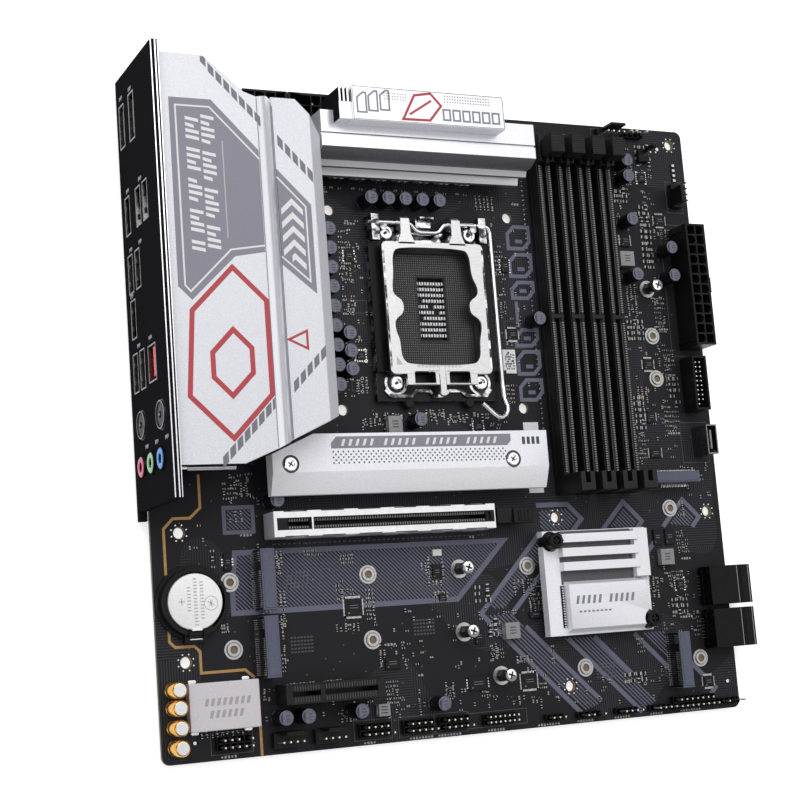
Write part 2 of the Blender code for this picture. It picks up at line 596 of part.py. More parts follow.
def graphics_slot():
    centre, end = GRAPHICS_SLOT_DOWN, 131.1
    part("graphics_slot", BLACK_PLASTIC,
         block((SLOT_ALONG, end), (centre - 3.7, centre + 3.7), (GAP, SLOT_UP)), cut=slot_cuts(centre, end))
    outer = block((SLOT_ALONG - 0.9, end + 0.9), (centre - 4.7, centre + 4.7), (1.2, SLOT_UP + 0.9))
    inner = block((SLOT_ALONG - 0.3, end + 0.3), (centre - 4.1, centre + 4.1), (0, SLOT_UP + 0.3))
    mouths = [block((47.0, 56.3), (centre - 2.0, centre + 2.0), (8, 14)),
              block((57.7, end - 1.0), (centre - 2.0, centre + 2.0), (8, 14))]
    part("graphics_slot_shield", BRIGHT_STEEL, outer, cut=[inner] + mouths)


def graphics_slot_latch():
    """Card latch at the slot's open end: a lever that tips about its lower corner."""
    down = (GRAPHICS_SLOT_DOWN - 3.0, GRAPHICS_SLOT_DOWN + 3.0)
    profile = [(134.0, 0.6), (138.4, 0.9), (141.0, 4.4), (150.6, 6.2), (150.6, 8.6), (138.8, 8.6),
               (137.6, 12.4), (132.6, 12.4), (132.6, 10.4), (135.0, 9.8), (134.2, 4.0)]
    part("graphics_slot_latch", BLACK_PLASTIC, prism(profile, down, "down"),
         pivot=(136.6, GRAPHICS_SLOT_DOWN, 3.4))


def expansion_slot():
    centre, end = SMALL_SLOT_DOWN, 81.1
    part("expansion_slot", BLACK_PLASTIC,
         block((SLOT_ALONG, end), (centre - 3.7, centre + 3.7), (GAP, SLOT_UP)), cut=slot_cuts(centre, end))


# ---- power, storage and front connectors ---------------------------------------------------------

CELL_PITCH = 4.2


def power_socket(name, low, cells, run):
    """Shrouded power socket: rows of square cells; `cells` counts them along and down."""
    width, length = (9.6, 5.4 + CELL_PITCH * (max(cells) - 1))
    size = (width, length) if run == "down" else (length, width)
    body = block((low[0], low[0] + size[0]), (low[1], low[1] + size[1]), (GAP, 12.8))
    middle = (low[0] + size[0] / 2, low[1] + size[1] / 2)
    cuts = []
    for i in range(cells[0]):
        for j in range(cells[1]):
            a = middle[0] + (i - (cells[0] - 1) / 2) * CELL_PITCH
            d = middle[1] + (j - (cells[1] - 1) / 2) * CELL_PITCH
            cuts.append(block((a - 1.75, a + 1.75), (d - 1.75, d + 1.75), (3.0, 14.0)))
    part(name, BLACK_PLASTIC, body, cut=cuts)


def sata_port(name, down):
    """Right-angle storage socket that opens past the front edge."""
    body = block((230.2, SATA_FRONT), (down, down + 15.6), (GAP, 8.2))
    mouth = block((SATA_FRONT - 6.4, SATA_FRONT + 1), (down + 1.6, down + 14.0), (2.2, 6.6))
    part(name, BLACK_PLASTIC, body, cut=[mouth])


def front_headers():
    """The two sockets for the front panel's USB leads."""
    shroud = block((231.6, 238.6), (99.9, 122.6), (GAP, 9.4))
    well = block((232.5, 237.7), (100.9, 121.6), (2.0, 11.0))
    part("front_usb_header", BLACK_PLASTIC, shroud, cut=[well])
    case = block((234.4, 239.6), (128.9, 141.2), (GAP, 10.2))
    mouth = block((235.0, 239.0), (129.6, 140.5), (3.0, 12.0))
    tongue = block((236.5, 237.5), (131.0, 139.1), (2.4, 9.2))
    header = part("front_usb_c_header", CONNECTOR_SHELL, case, cut=[mouth])
    joined = header.modifiers.new("tongue", "BOOLEAN")
    joined.operation = "UNION"
    joined.solver = "EXACT"
    joined.object = helper("front_usb_c_header_tongue", [tongue])


# ---- M.2 sockets ---------------------------------------------------------------------------------


def m2_socket(name, low, high, opens):
    """Raised edge socket for a drive; `opens` is the side that its slot faces."""
    body = block((low[0], high[0]), (low[1], high[1]), (GAP, MODULE_SOCKET_UP))
    slot_up = (6.0, 7.4)
    if opens == "down":
        mouth = block((low[0] + 1, high[0] - 1), (high[1] - 3, high[1] + 1), slot_up)
    elif opens == "top":
        mouth = block((low[0] + 1, high[0] - 1), (low[1] - 1, low[1] + 3), slot_up)
    elif opens == "front":
        mouth = block((high[0] - 3, high[0] + 1), (low[1] + 1, high[1] - 1), slot_up)
    else:
        mouth = block((low[0] - 1, low[0] + 3), (low[1] + 1, high[1] - 1), slot_up)
    part(name, LILAC_PLASTIC, body, cut=[mouth])


def m2_sockets():
    m2_socket("m2_socket_covered", (52.6, 131.9), (57.8, 151.9), "front")
    m2_socket("m2_socket_rear_upper", (37.4, 171.2), (42.7, 193.2), "front")
    m2_socket("m2_socket_rear_lower", (37.4, 195.2), (42.7, 217.2), "front")
    m2_socket("m2_socket_front_lower", (212.0, 212.2), (217.2, 234.4), "rear")
    m2_socket("m2_socket_front_upper", (208.2, 147.6), (229.9, 152.2), "top")


# ---- battery, audio and power-stage banks --------------------------------------------------------

CELL_CENTRE = (13.4, 188.6)


def battery():
    """Coin-cell holder with a spring clip at its lower side, and its cell."""
    a, d = CELL_CENTRE
    cup = rod((a, d, GAP), (a, d, 4.4), 11.8, 40)
    clip = block((a - 4, a + 4), (d + 8.0, d + 14.4), (GAP, 3.4))
    room = rod((a, d, 1.6), (a, d, 6), 10.4, 40)
    relief = block((a + 2.0, a + 14.0), (d - 5.0, d + 9.0), (1.6, 6))
    smooth(part("battery_holder", BLACK_PLASTIC, cup, [clip], [room, relief]))
    smooth(part("coin_cell", CELL_STEEL, rod((a, d, 1.9), (a, d, 5.1), 10.0, 40)))


def audio_section():
    """Metal cover over the sound chip, and the four gold capacitors beside it."""
    part("audio_cover", SHIELD_GREY, block((9.2, 35.3), (217.0, 233.8), (GAP, 4.8)))
    cans = [rod((4.6, down, GAP), (4.6, down, 9.6), 2.9, 20) for down in (218.8, 225.0, 231.8, 238.6)]
    strip = block((3.6, 5.6), (216.5, 241.0), (GAP, 0.9))
    smooth(part("audio_capacitor_bank", GOLD_SLEEVE, strip, cans))


def power_stages():
    """Chokes and capacitors of the two power-stage rows, each row on a common strip."""
    chokes_left = [block((50.6, 57.4), (down, down + 6.6), (GAP, 7.4))
                   for down in (20.0 + 9.0 * step for step in range(11))]
    part("choke_bank_left", CHOKE_GREY, block((52.0, 56.0), (18.0, 118.0), (GAP, 1.1)), chokes_left)
    chokes_top = [block((along, along + 6.8), (22.6, 30.4), (GAP, 7.0))
                  for along in (77.2 + 9.1 * step for step in range(7))]
    part("choke_bank_top", CHOKE_GREY, block((76.0, 140.0), (24.0, 27.0), (GAP, 1.1)), chokes_top)
    columns = [(73.1, 51.6 + 7.5 * step) for step in range(9)]
    side = [(78.6, 91.8 + 6.9 * step) for step in range(3)]
    cans = [rod((a, d, GAP), (a, d, 9.0), 2.75, 20) for a, d in columns + side]
    strip = block((72.0, 74.0), (50.0, 113.0), (GAP, 0.9))
    links = [block((73.0, 78.6), (d - 0.6, d + 0.6), (GAP, 0.9)) for _, d in side]
    smooth(part("capacitor_bank_left", CAPACITOR_CAN, strip, cans + links))
    row = [(91.6 + 7.3 * step, 38.5) for step in range(5)]
    cans = [rod((a, d, GAP), (a, d, 9.0), 2.75, 20) for a, d in row]
    smooth(part("capacitor_bank_top", CAPACITOR_CAN, block((90.0, 122.4), (37.6, 39.4), (GAP, 0.9)), cans))


# ---- assembly ------------------------------------------------------------------------------------


def clear_scene():
    for obj in list(bpy.data.objects):
        bpy.data.objects.remove(obj, do_unlink=True)


def collection(name):
    made = bpy.data.collections.new(name)
    bpy.context.scene.collection.children.link(made)
    return made


clear_scene()
PARTS = collection("motherboard")
CUTTERS = collection("cutters")

circuit_board()
io_shield()
rear_ports()
antenna_connectors()
audio_jacks()
io_cover()
vrm_heatsink_left()
vrm_heatsink_top()
chipset_heatsink()
m2_heatsink()
socket()
for slot in range(MEMORY_COUNT):
    memory_slot(slot)
    memory_latch(slot)
graphics_slot()
graphics_slot_latch()
expansion_slot()
power_socket("main_power_socket", (232.6, 44.3), (2, 12), "down")
power_socket("processor_power_socket_1", (40.2, 0.3), (4, 2), "along")
power_socket("processor_power_socket_2", (58.5, 0.3), (4, 2), "along")
sata_port("sata_port_upper", 186.9)
sata_port("sata_port_lower", 204.2)
front_headers()
m2_sockets()
battery()
audio_section()
power_stages()
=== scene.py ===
"""Looks of a white and black micro-ATX motherboard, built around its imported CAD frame.

Places on the board are (along, down, up) in millimetres: along runs from the rear edge to the
front, down from the edge by the processor to the bottom edge, and up from the component side.
"""

import math
import random
from itertools import product

import bmesh
import bpy
from mathutils import Matrix, Vector


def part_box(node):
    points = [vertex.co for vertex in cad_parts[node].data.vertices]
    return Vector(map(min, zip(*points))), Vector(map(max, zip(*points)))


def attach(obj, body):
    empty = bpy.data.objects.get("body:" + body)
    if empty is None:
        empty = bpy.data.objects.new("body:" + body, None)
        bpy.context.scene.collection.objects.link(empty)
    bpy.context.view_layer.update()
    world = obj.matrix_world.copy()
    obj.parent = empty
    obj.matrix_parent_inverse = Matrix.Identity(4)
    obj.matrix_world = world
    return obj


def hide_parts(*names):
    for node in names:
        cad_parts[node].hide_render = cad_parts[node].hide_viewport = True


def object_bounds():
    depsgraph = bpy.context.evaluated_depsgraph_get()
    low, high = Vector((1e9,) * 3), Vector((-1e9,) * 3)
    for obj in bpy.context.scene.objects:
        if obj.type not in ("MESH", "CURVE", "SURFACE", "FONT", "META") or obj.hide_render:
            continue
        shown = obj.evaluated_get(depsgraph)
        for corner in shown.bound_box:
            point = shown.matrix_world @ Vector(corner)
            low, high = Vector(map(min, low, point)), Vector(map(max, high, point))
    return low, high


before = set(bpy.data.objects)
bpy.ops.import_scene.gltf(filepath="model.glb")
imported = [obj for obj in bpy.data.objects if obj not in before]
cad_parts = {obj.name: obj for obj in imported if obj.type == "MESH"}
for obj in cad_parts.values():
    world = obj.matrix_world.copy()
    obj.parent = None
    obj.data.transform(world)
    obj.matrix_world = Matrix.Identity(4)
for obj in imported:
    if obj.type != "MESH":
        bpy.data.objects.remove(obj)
CAD_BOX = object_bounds()

MM = 0.001
BOARD_LOW, BOARD_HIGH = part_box("circuit_board")
BOARD_REAR = -0.3
BOARD_SIZE = 244.4
BOARD_THICK = 1.6
ORIGIN = Vector((BOARD_LOW.x - BOARD_REAR * MM, BOARD_HIGH.y, BOARD_HIGH.z))
random.seed(11)


# ---- places and shapes ----


def spot(along, down, up):
    """World position of a place on the board."""
    return ORIGIN + Vector((along, -down, up)) * MM


def reach(node):
    """A CAD node's (along, down, up) ranges, in mm."""
    low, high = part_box(node)
    low, high = (low - ORIGIN) / MM, (high - ORIGIN) / MM
    return (low.x, high.x), (-high.y, -low.y), (low.z, high.z)


def rectangle(along, down):
    """The corners of a rectangle from its two ranges."""
    return [(along[0], down[0]), (along[1], down[0]), (along[1], down[1]), (along[0], down[1])]


def round_rectangle(along, down, radius, steps=4):
    """The outline of a rectangle with rounded corners."""
    points = []
    corners = [(along[1], down[0], -90), (along[1], down[1], 0), (along[0], down[1], 90),
               (along[0], down[0], 180)]
    for corner_a, corner_d, start in corners:
        centre_a = corner_a - math.copysign(radius, corner_a - sum(along) / 2)
        centre_d = corner_d - math.copysign(radius, corner_d - sum(down) / 2)
        for step in range(steps + 1):
            points.append(around((centre_a, centre_d), radius, start + 90 * step / steps))
    return points


def circle(centre, radius, sides=24, start=0.0, sweep=360.0):
    """The outline of a circle, or of a slice cut straight off it."""
    count = sides if sweep >= 360 else sides + 1
    return [around(centre, radius, start + sweep * i / sides) for i in range(count)]


def centred(count, pitch):
    """Even offsets to both sides of a middle."""
    return [(i - (count - 1) / 2) * pitch for i in range(count)]


def around(centre, radius, degrees):
    """The place at that distance and turn from a middle."""
    angle = math.radians(degrees)
    return centre[0] + radius * math.cos(angle), centre[1] + radius * math.sin(angle)


class Making:
    """A mesh in the making. `look` is the index of the finish that a shape takes."""

    def __init__(self):
        self.bm = bmesh.new()

    def _shape(self, verts, look):
        for face in {face for vert in verts for face in vert.link_faces}:
            face.material_index = look

    def box(self, along, down, up, look=0, turn=0.0):
        low, high = spot(along[0], down[1], up[0]), spot(along[1], down[0], up[1])
        size = Matrix.Diagonal((*(high - low), 1.0))
        spin = Matrix.Rotation(math.radians(-turn), 4, "Z")
        place = Matrix.Translation((low + high) / 2) @ spin @ size
        self._shape(bmesh.ops.create_cube(self.bm, size=1.0, matrix=place)["verts"], look)

    def block(self, centre, size, up, look=0, turn=0.0):
        self.box((centre[0] - size[0] / 2, centre[0] + size[0] / 2),
                 (centre[1] - size[1] / 2, centre[1] + size[1] / 2), up, look, turn)

    def post(self, centre, up, radius, look=0, sides=20, end_radius=None):
        self.rod((*centre, up[0]), (*centre, up[1]), radius, look, sides, end_radius)

    def slant(self, corner, size, drop, lean, up, look=0):
        """A slanted bar: `drop` tips its long sides down, `lean` its short ones along."""
        (a, d), (wide, high) = corner, size
        self.prism([(a + lean, d), (a + wide + lean, d + drop), (a + wide, d + drop + high),
                    (a, d + high)], up, look)

    def rod(self, start, end, radius, look=0, sides=20, end_radius=None):
        first, last = spot(*start), spot(*end)
        turn = (last - first).to_track_quat("Z", "Y").to_matrix().to_4x4()
        if end_radius is None:
            end_radius = radius
        made = bmesh.ops.create_cone(
            self.bm, cap_ends=True, segments=sides, depth=(last - first).length,
            radius1=radius * MM, radius2=end_radius * MM,
            matrix=Matrix.Translation((first + last) / 2) @ turn)
        self._shape(made["verts"], look)

    def prism(self, outline, span, look=0, run="up"):
        def place(a, b, s):
            if run == "up":
                return spot(a, b, s)
            return spot(a, s, b) if run == "down" else spot(s, a, b)

        low = [self.bm.verts.new(place(a, b, span[0])) for a, b in outline]
        high = [self.bm.verts.new(place(a, b, span[1])) for a, b in outline]
        faces = [self.bm.faces.new(low), self.bm.faces.new(list(reversed(high)))]
        for i in range(len(outline)):
            j = (i + 1) % len(outline)
            faces.append(self.bm.faces.new((low[j], low[i], high[i], high[j])))
        for face in faces:
            face.material_index = look

    def ring(self, centre, inner, outer, up, look=0, sides=28):
        """A flat washer."""
        self.turning(centre, [(inner, up[0]), (outer, up[0]), (outer, up[1]), (inner, up[1])], look,
                     sides, closed=True)

    def turning(self, centre, profile, look=0, sides=24, closed=False, looks=None, axis="up"):
        """A turned shape: (radius, height) pairs swept about an upright line or a level one."""
        rows = []
        for radius, height in profile:
            row = []
            for i in range(sides):
                angle = math.tau * i / sides
                c, s = radius * math.cos(angle), radius * math.sin(angle)
                if axis == "up":
                    row.append(self.bm.verts.new(spot(centre[0] + c, centre[1] + s, height)))
                else:
                    row.append(self.bm.verts.new(spot(height, centre[0] + c, centre[1] + s)))
            rows.append(row)
        pairs = list(zip(rows, rows[1:])) + ([(rows[-1], rows[0])] if closed else [])
        for index, (first, second) in enumerate(pairs):
            for i in range(sides):
                j = (i + 1) % sides
                face = self.bm.faces.new((first[i], first[j], second[j], second[i]))
                face.material_index = looks[index] if looks else look
        if not closed:
            for row, tone in ((rows[0], 0), (rows[-1], -1)):
                face = self.bm.faces.new(row)
                face.material_index = looks[tone] if looks else look

    def stroke(self, points, width, up, look=0, closed=False):
        """A flat line of even width through points (along, down), mitred at its corners."""
        count = len(points)
        sides = ([], [])
        for i in range(count):
            here = Vector(points[i])
            before = Vector(points[i - 1]) if i or closed else None
            after = Vector(points[(i + 1) % count]) if i < count - 1 or closed else None
            normals = []
            if before is not None:
                run = (here - before).normalized()
                normals.append(Vector((-run.y, run.x)))
            if after is not None:
                run = (after - here).normalized()
                normals.append(Vector((-run.y, run.x)))
            mitre = sum(normals, Vector((0, 0))).normalized()
            length = width / 2 / max(mitre.dot(normals[0]), 0.4)
            sides[0].append(here + mitre * length)
            sides[1].append(here - mitre * length)
        last = count if closed else count - 1
        for i in range(last):
            j = (i + 1) % count
            self.prism([sides[0][i], sides[0][j], sides[1][j], sides[1][i]], up, look)

    def outline(self, along, down, width, up, look=0):
        """A line of even width round a rectangle."""
        self.stroke(rectangle(along, down), width, up, look, closed=True)

    def mesh(self, name):
        """The shapes as one mesh, with their faces turned outwards."""
        bmesh.ops.recalc_face_normals(self.bm, faces=self.bm.faces)
        mesh = bpy.data.meshes.new(name)
        self.bm.to_mesh(mesh)
        self.bm.free()
        return mesh


def added(name, data):
    """An object in the scene."""
    obj = bpy.data.objects.new(name, data)
    bpy.context.scene.collection.objects.link(obj)
    return obj


def finished(name, looks, mesh, body="board", slot=None, replaces=(), bevel=0.0, segments=2,
             smooth=35):
    """A finished piece with its place in its mesh."""
    obj = added(name, mesh)
    if not mesh.materials:
        for look in looks:
            mesh.materials.append(look)
    if bevel:
        round_over = obj.modifiers.new("round_over", "BEVEL")
        round_over.width = bevel * MM
        round_over.segments = segments
        round_over.limit_method = "ANGLE"
        round_over.angle_limit = math.radians(40)
        round_over.harden_normals = True
    if smooth:
        mesh.shade_smooth()
        mesh.set_sharp_from_angle(angle=math.radians(smooth))
    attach(obj, body)
    if replaces:
        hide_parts(*replaces)


def piece(name, making, looks, **options):
    finished(name, looks, making.mesh(name), **options)


def printed(name, making, looks, **options):
    """A piece of flat shapes, shaded flat."""
    finished(name, looks, making.mesh(name), smooth=None, **options)


def refined(node, looks, bevel, extra=None, tone=None, **options):
    """A CAD node with its flats made whole and its edges rounded over.

    `tone` picks a finish for a face from its normal and its (along, down, up) middle.
    """
    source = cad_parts[node]
    bm = bmesh.new()
    bm.from_mesh(source.data)
    bmesh.ops.remove_doubles(bm, verts=bm.verts, dist=0.002 * MM)
    bmesh.ops.dissolve_limit(bm, angle_limit=math.radians(1.0), verts=bm.verts, edges=bm.edges)
    bm.normal_update()
    for face in bm.faces:
        middle = (source.matrix_world @ face.calc_center_median() - ORIGIN) / MM
        face.material_index = tone(face.normal, (middle.x, -middle.y, middle.z)) if tone else 0
    if extra:
        mesh = extra.mesh("extra")
        bm.from_mesh(mesh)
        bpy.data.meshes.remove(mesh)
    mesh = bpy.data.meshes.new(node)
    bm.to_mesh(mesh)
    bm.free()
    finished(node + "_finished", looks, mesh, replaces=(node,), bevel=bevel, **options)


# ---- finishes ----


class Nodes:
    """Ways to add and join the nodes of a tree."""

    def node(self, kind, **values):
        """A new node. A value goes to the input of that name, or else to the node itself."""
        made = self.tree.nodes.new(kind)
        for key, value in values.items():
            label = key.replace("_", " ")
            if label in made.inputs:
                made.inputs[label].default_value = value
            else:
                setattr(made, key, value)
        return made

    def link(self, source, target):
        self.tree.links.new(source, target)


class Finish(Nodes):
    """A node material in the making."""

    def __init__(self, name, roughness=0.5, metallic=0.0, coat=0.0, specular=0.5):
        self.material = bpy.data.materials.new(name)
        self.material.use_nodes = True
        self.tree = self.material.node_tree
        self.shader = self.tree.nodes["Principled BSDF"]
        values = {"Roughness": roughness, "Metallic": metallic, "Coat Weight": coat,
                  "Coat Roughness": 0.15, "Specular IOR Level": specular}
        if specular < 0.1:
            values["IOR"] = 1.06
        for label, value in values.items():
            self.shader.inputs[label].default_value = value
        self.place = self.node("ShaderNodeTexCoord").outputs["Object"]

    def mapped(self, scale=(1, 1, 1), turn=0.0):
        mapping = self.node("ShaderNodeMapping", Scale=scale, Rotation=(0, 0, math.radians(turn)))
        self.link(self.place, mapping.inputs["Vector"])
        return mapping.outputs["Vector"]

    def noise(self, scale, detail=2.0, vector=None):
        noise = self.node("ShaderNodeTexNoise", Scale=scale, Detail=detail)
        self.link(vector or self.place, noise.inputs["Vector"])
        return noise.outputs["Fac"]

    def waves(self, scale, turn):
        """Straight even bands, turned about the upright axis."""
        wave = self.node("ShaderNodeTexWave", wave_type="BANDS", bands_direction="X", Scale=scale,
                         Distortion=0.0)
        self.link(self.mapped(turn=turn), wave.inputs["Vector"])
        return wave.outputs["Fac"]

    def above(self, source, level):
        """1 where the source is over the level, else 0."""
        step = self.node("ShaderNodeMath", operation="GREATER_THAN")
        step.inputs[1].default_value = level
        self.link(source, step.inputs[0])
        return step.outputs[0]

    def ramp(self, source, low, high):
        """A colour that goes from one to the other between two (position, colour) stops."""
        ramp = self.node("ShaderNodeValToRGB")
        for element, (position, colour) in zip(ramp.color_ramp.elements, (low, high)):
            element.position = position
            element.color = (*colour, 1.0)
        self.link(source, ramp.inputs["Fac"])
        return ramp.outputs["Color"]

    def between(self, source, low, high):
        spread = self.node("ShaderNodeMapRange", To_Min=low, To_Max=high)
        self.link(source, spread.inputs["Value"])
        return spread.outputs["Result"]

    def mix(self, kind, factor, **ends):
        """Two values or colours mixed; each end is a socket or a plain colour."""
        mix = self.node("ShaderNodeMix", data_type=kind)
        self.link(factor, mix.inputs["Factor"])
        for label, end in ends.items():
            if isinstance(end, tuple):
                mix.inputs[label].default_value = (*end, 1)
            else:
                self.link(end, mix.inputs[label])
        return mix.outputs["Result"]

    def feed(self, label, source):
        self.link(source, self.shader.inputs[label])

    def bump(self, source, strength, distance):
        bump = self.node("ShaderNodeBump", Strength=strength, Distance=distance)
        self.link(source, bump.inputs["Height"])
        self.feed("Normal", bump.outputs["Normal"])


def grey(level, tint=0.0):
    return (level, level, level * (1 + tint))


GRAIN_DEPTH = 0.00003


def mottled(name, dark, light, grain=900.0, roughness=(0.35, 0.5), metallic=0.0, bump=0.0,
            coat=0.0, specular=0.5, stretch=(1, 1, 1), spread=(0.3, 0.7)):
    """A finish whose colour and gloss vary a little with its grain; a number is a neutral grey."""
    dark, light = (grey(tone) if isinstance(tone, float) else tone for tone in (dark, light))
    made = Finish(name, metallic=metallic, coat=coat, specular=specular)
    grains = made.noise(grain, 3.0, made.mapped(stretch))
    made.feed("Base Color", made.ramp(grains, (spread[0], dark), (spread[1], light)))
    made.feed("Roughness", made.between(grains, *roughness))
    if bump:
        made.bump(grains, bump, GRAIN_DEPTH)
    return made.material


def traced(name, base, line, pour):
    """Black solder mask with copper runs and poured areas faintly showing through."""
    made = Finish(name, roughness=0.45, specular=0.16)
    patch = made.noise(34.0, 1.0)
    area = made.noise(16.0, 1.0, made.mapped(turn=20))
    level, upright, slanted = (made.above(made.waves(320.0, turn), 0.62) for turn in (0, 90, 45))
    turned = made.mix("FLOAT", made.above(patch, 0.44), A=slanted, B=upright)
    runs = made.mix("FLOAT", made.above(patch, 0.52), A=level, B=turned)
    shown = made.node("ShaderNodeMath", operation="MULTIPLY")
    made.link(runs, shown.inputs[0])
    made.link(made.above(area, 0.5), shown.inputs[1])
    tone = made.mix("RGBA", shown.outputs[0], A=base, B=line)
    made.feed("Base Color", made.mix("RGBA", made.between(area, 0.0, 0.5), A=tone, B=pour))
    made.bump(shown.outputs[0], 0.25, GRAIN_DEPTH)
    return made.material


SOLDER_MASK = traced("black_solder_mask", grey(0.0145, 0.2), grey(0.044, 0.2), grey(0.0105, 0.2))
BOARD_EDGE = mottled("board_edge", (0.09, 0.065, 0.035), (0.16, 0.12, 0.07), 700, (0.6, 0.8))
WHITE_COAT = mottled("white_satin_coat", (0.63, 0.63, 0.68), (0.77, 0.77, 0.825), 2600, (0.36, 0.5),
                     metallic=0.15, bump=0.25, coat=0.12)
# Painted light: the same white satin coat made brighter for the drive cover and the chipset
# heatsink, which the lamps leave dimmer than the other white parts.
WHITE_COAT_PAINTED_LIGHT = mottled("white_satin_coat_painted_light", (0.78, 0.78, 0.83), (0.93, 0.93, 0.98), 2600, (0.36, 0.5),
                    metallic=0.15, bump=0.25, coat=0.12)
# Black of the rear shield's real sheet, and also painted shade on the rear cover's low front walls
# and between the top heatsink's fins.
BLACK_SHEET_AND_SHADE = mottled("satin_black_sheet_and_painted_shade", grey(0.008, 0.2), grey(0.012, 0.2), 1800, (0.6, 0.75),
                     0.0, 0.1, specular=0.02)
BLACK_PLASTIC = mottled("moulded_black", 0.004, 0.008, 2200, (0.3, 0.42), bump=0.12, specular=0.2)
SLOT_PLASTIC = mottled("slot_black", 0.007, 0.013, 2200, (0.32, 0.45), bump=0.12, specular=0.25)
GREY_PLASTIC = mottled("dark_grey_plastic", 0.024, 0.034, 2200, (0.4, 0.55), specular=0.2)
LILAC_PLASTIC = mottled("blue_grey_plastic", (0.095, 0.1, 0.145), (0.12, 0.125, 0.175), 1500,
                        (0.4, 0.5), specular=0.2)
ROLLED_COAT = mottled("rolled_satin_coat", (0.78, 0.78, 0.83), (0.88, 0.88, 0.93), 2600,
                      (0.26, 0.36), metallic=0.6, bump=0.2)
BRIGHT_STEEL = mottled("bright_plated_steel", grey(0.78, 0.01), grey(0.9, 0.01), 500, (0.07, 0.16),
                       1.0, stretch=(1, 6, 1))
SATIN_STEEL = mottled("satin_steel", grey(0.74, 0.02), grey(0.88, 0.02), 700, (0.24, 0.34), 1.0,
                      stretch=(1, 8, 1), bump=0.02)
PLATE_STEEL = mottled("sprung_plate_steel", grey(0.56, 0.01), grey(0.66, 0.01), 420, (0.26, 0.36),
                      1.0, stretch=(1, 3, 1))
SLOT_SHIELD = mottled("slot_shield_steel", grey(0.78, 0.02), grey(0.88, 0.02), 400, (0.36, 0.44),
                      0.6)
ZINC_RING = mottled("zinc_ring", 0.4, 0.55, 900, (0.3, 0.42), 0.9)
PART_TIN = mottled("tinned_part_ends", 0.4, 0.6, 1600, (0.3, 0.45), 0.7)
SHELL_STEEL = mottled("connector_shell", 0.17, 0.27, 900, (0.22, 0.36), 1.0)
PAINTED_TAB = mottled("pale_grey_sheet", (0.60, 0.57, 0.60), (0.66, 0.63, 0.66), 1200, (0.35, 0.5),
                      0.35)
SOLDER = mottled("solder", 0.62, 0.82, 1600, (0.15, 0.35), 1.0, bump=0.3)
PIN_METAL = mottled("tinned_pins", (0.72, 0.69, 0.62), (0.88, 0.86, 0.8), 1500, (0.2, 0.35), 1.0)
# Painted reflections: a chrome whose base colour swings in blotches between near black and near
# white, standing in for the dark and bright surroundings it mirrors.
PAINTED_REFLECTION_CHROME = mottled("chrome_painted_reflections", grey(0.05, 0.03), grey(0.82, 0.03), 230, (0.08, 0.2), 1.0,
                      stretch=(1, 1.6, 1), spread=(0.42, 0.6))
# Painted shade: the dark grey of the chipset ribs' walls that face the bottom edge and of the
# floors between the ribs.
RIB_SHADE = mottled("shaded_rib_wall", grey(0.07, 0.08), grey(0.11, 0.08), 1500, (0.4, 0.5), 0.4)
# Painted shade: the white coat darkened for the top heatsink's walls that face the socket.
WHITE_SHADE = mottled("painted_shade_grey_wall", grey(0.16, 0.08), grey(0.24, 0.08), 1500, (0.4, 0.5), 0.4)
GLOSS_BLACK = mottled("glossy_black", 0.002, 0.005, 900, (0.1, 0.16), specular=0.12)
SLOT_EDGE = mottled("slot_edge_grey", 0.05, 0.075, 2500, (0.4, 0.5), specular=0.3)
SLOT_DOT = mottled("slot_dot_grey", 0.22, 0.31, 2500, (0.4, 0.5), specular=0.2)
# Partly painted highlight: the latch ribs are real, and their black is made lighter than the latch
# so they read as catching the light.
LATCH_RIB_SHEEN = mottled("latch_rib_painted_sheen", 0.016, 0.024, 2500, (0.4, 0.5), specular=0.2)
# Grey of the slots' real contact leads and teeth, and also painted highlight lines along the
# storage sockets' ridges.
LEAD_GREY_AND_HIGHLIGHT = mottled("lead_grey_and_painted_highlight", 0.26, 0.36, 2500, (0.4, 0.5), 0.3)
DRILLED = mottled("drilled_dots", grey(0.06, 0.1), grey(0.09, 0.1), 2500, (0.5, 0.6), specular=0.2)
HOLE_BROWN = mottled("bare_hole_brown", (0.16, 0.1, 0.05), (0.22, 0.14, 0.08), 2000, (0.5, 0.6))
GOLD = mottled("gold_plate", (0.75, 0.5, 0.2), (0.9, 0.64, 0.3), 1200, (0.15, 0.3), 1.0)
GOLD_CAN = mottled("gold_can", (0.55, 0.28, 0.05), (0.75, 0.42, 0.1), 500, (0.15, 0.3), 0.9)
CAN_SIDE = mottled("dark_can_side", grey(0.010, 0.2), grey(0.022, 0.2), 800, (0.14, 0.26), 0.6)
CAN_TOP = mottled("blue_grey_can_top", (0.11, 0.115, 0.155), (0.16, 0.165, 0.215), 900,
                  (0.35, 0.5), 0.3)
CAN_MARK = mottled("can_mark", (0.02, 0.02, 0.03), (0.05, 0.05, 0.08), 1500, (0.5, 0.6))
CHOKE = mottled("pressed_powder", 0.20, 0.34, 2600, (0.5, 0.7), 0.2, bump=0.5)
CHIP_BLACK = mottled("chip_epoxy", 0.008, 0.014, 3000, (0.4, 0.55), bump=0.2, specular=0.2)
CHIP_TAN = mottled("ceramic_tan", (0.20, 0.13, 0.08), (0.30, 0.2, 0.13), 2000, (0.5, 0.6))
PRINT_LILAC = mottled("lilac_grey_ink", (0.125, 0.13, 0.18), (0.15, 0.155, 0.21), 2500, (0.5, 0.65),
                      specular=0.2)
PRINT_PANEL = mottled("panel_grey_ink", (0.215, 0.21, 0.255), (0.245, 0.24, 0.29), 2500,
                      (0.4, 0.55))
PRINT_DARK = mottled("dark_grey_ink", (0.15, 0.155, 0.18), (0.18, 0.185, 0.21), 2500, (0.4, 0.55))
PRINT_WHITE = mottled("white_ink", grey(0.70, 0.03), grey(0.80, 0.03), 2500, (0.45, 0.6))
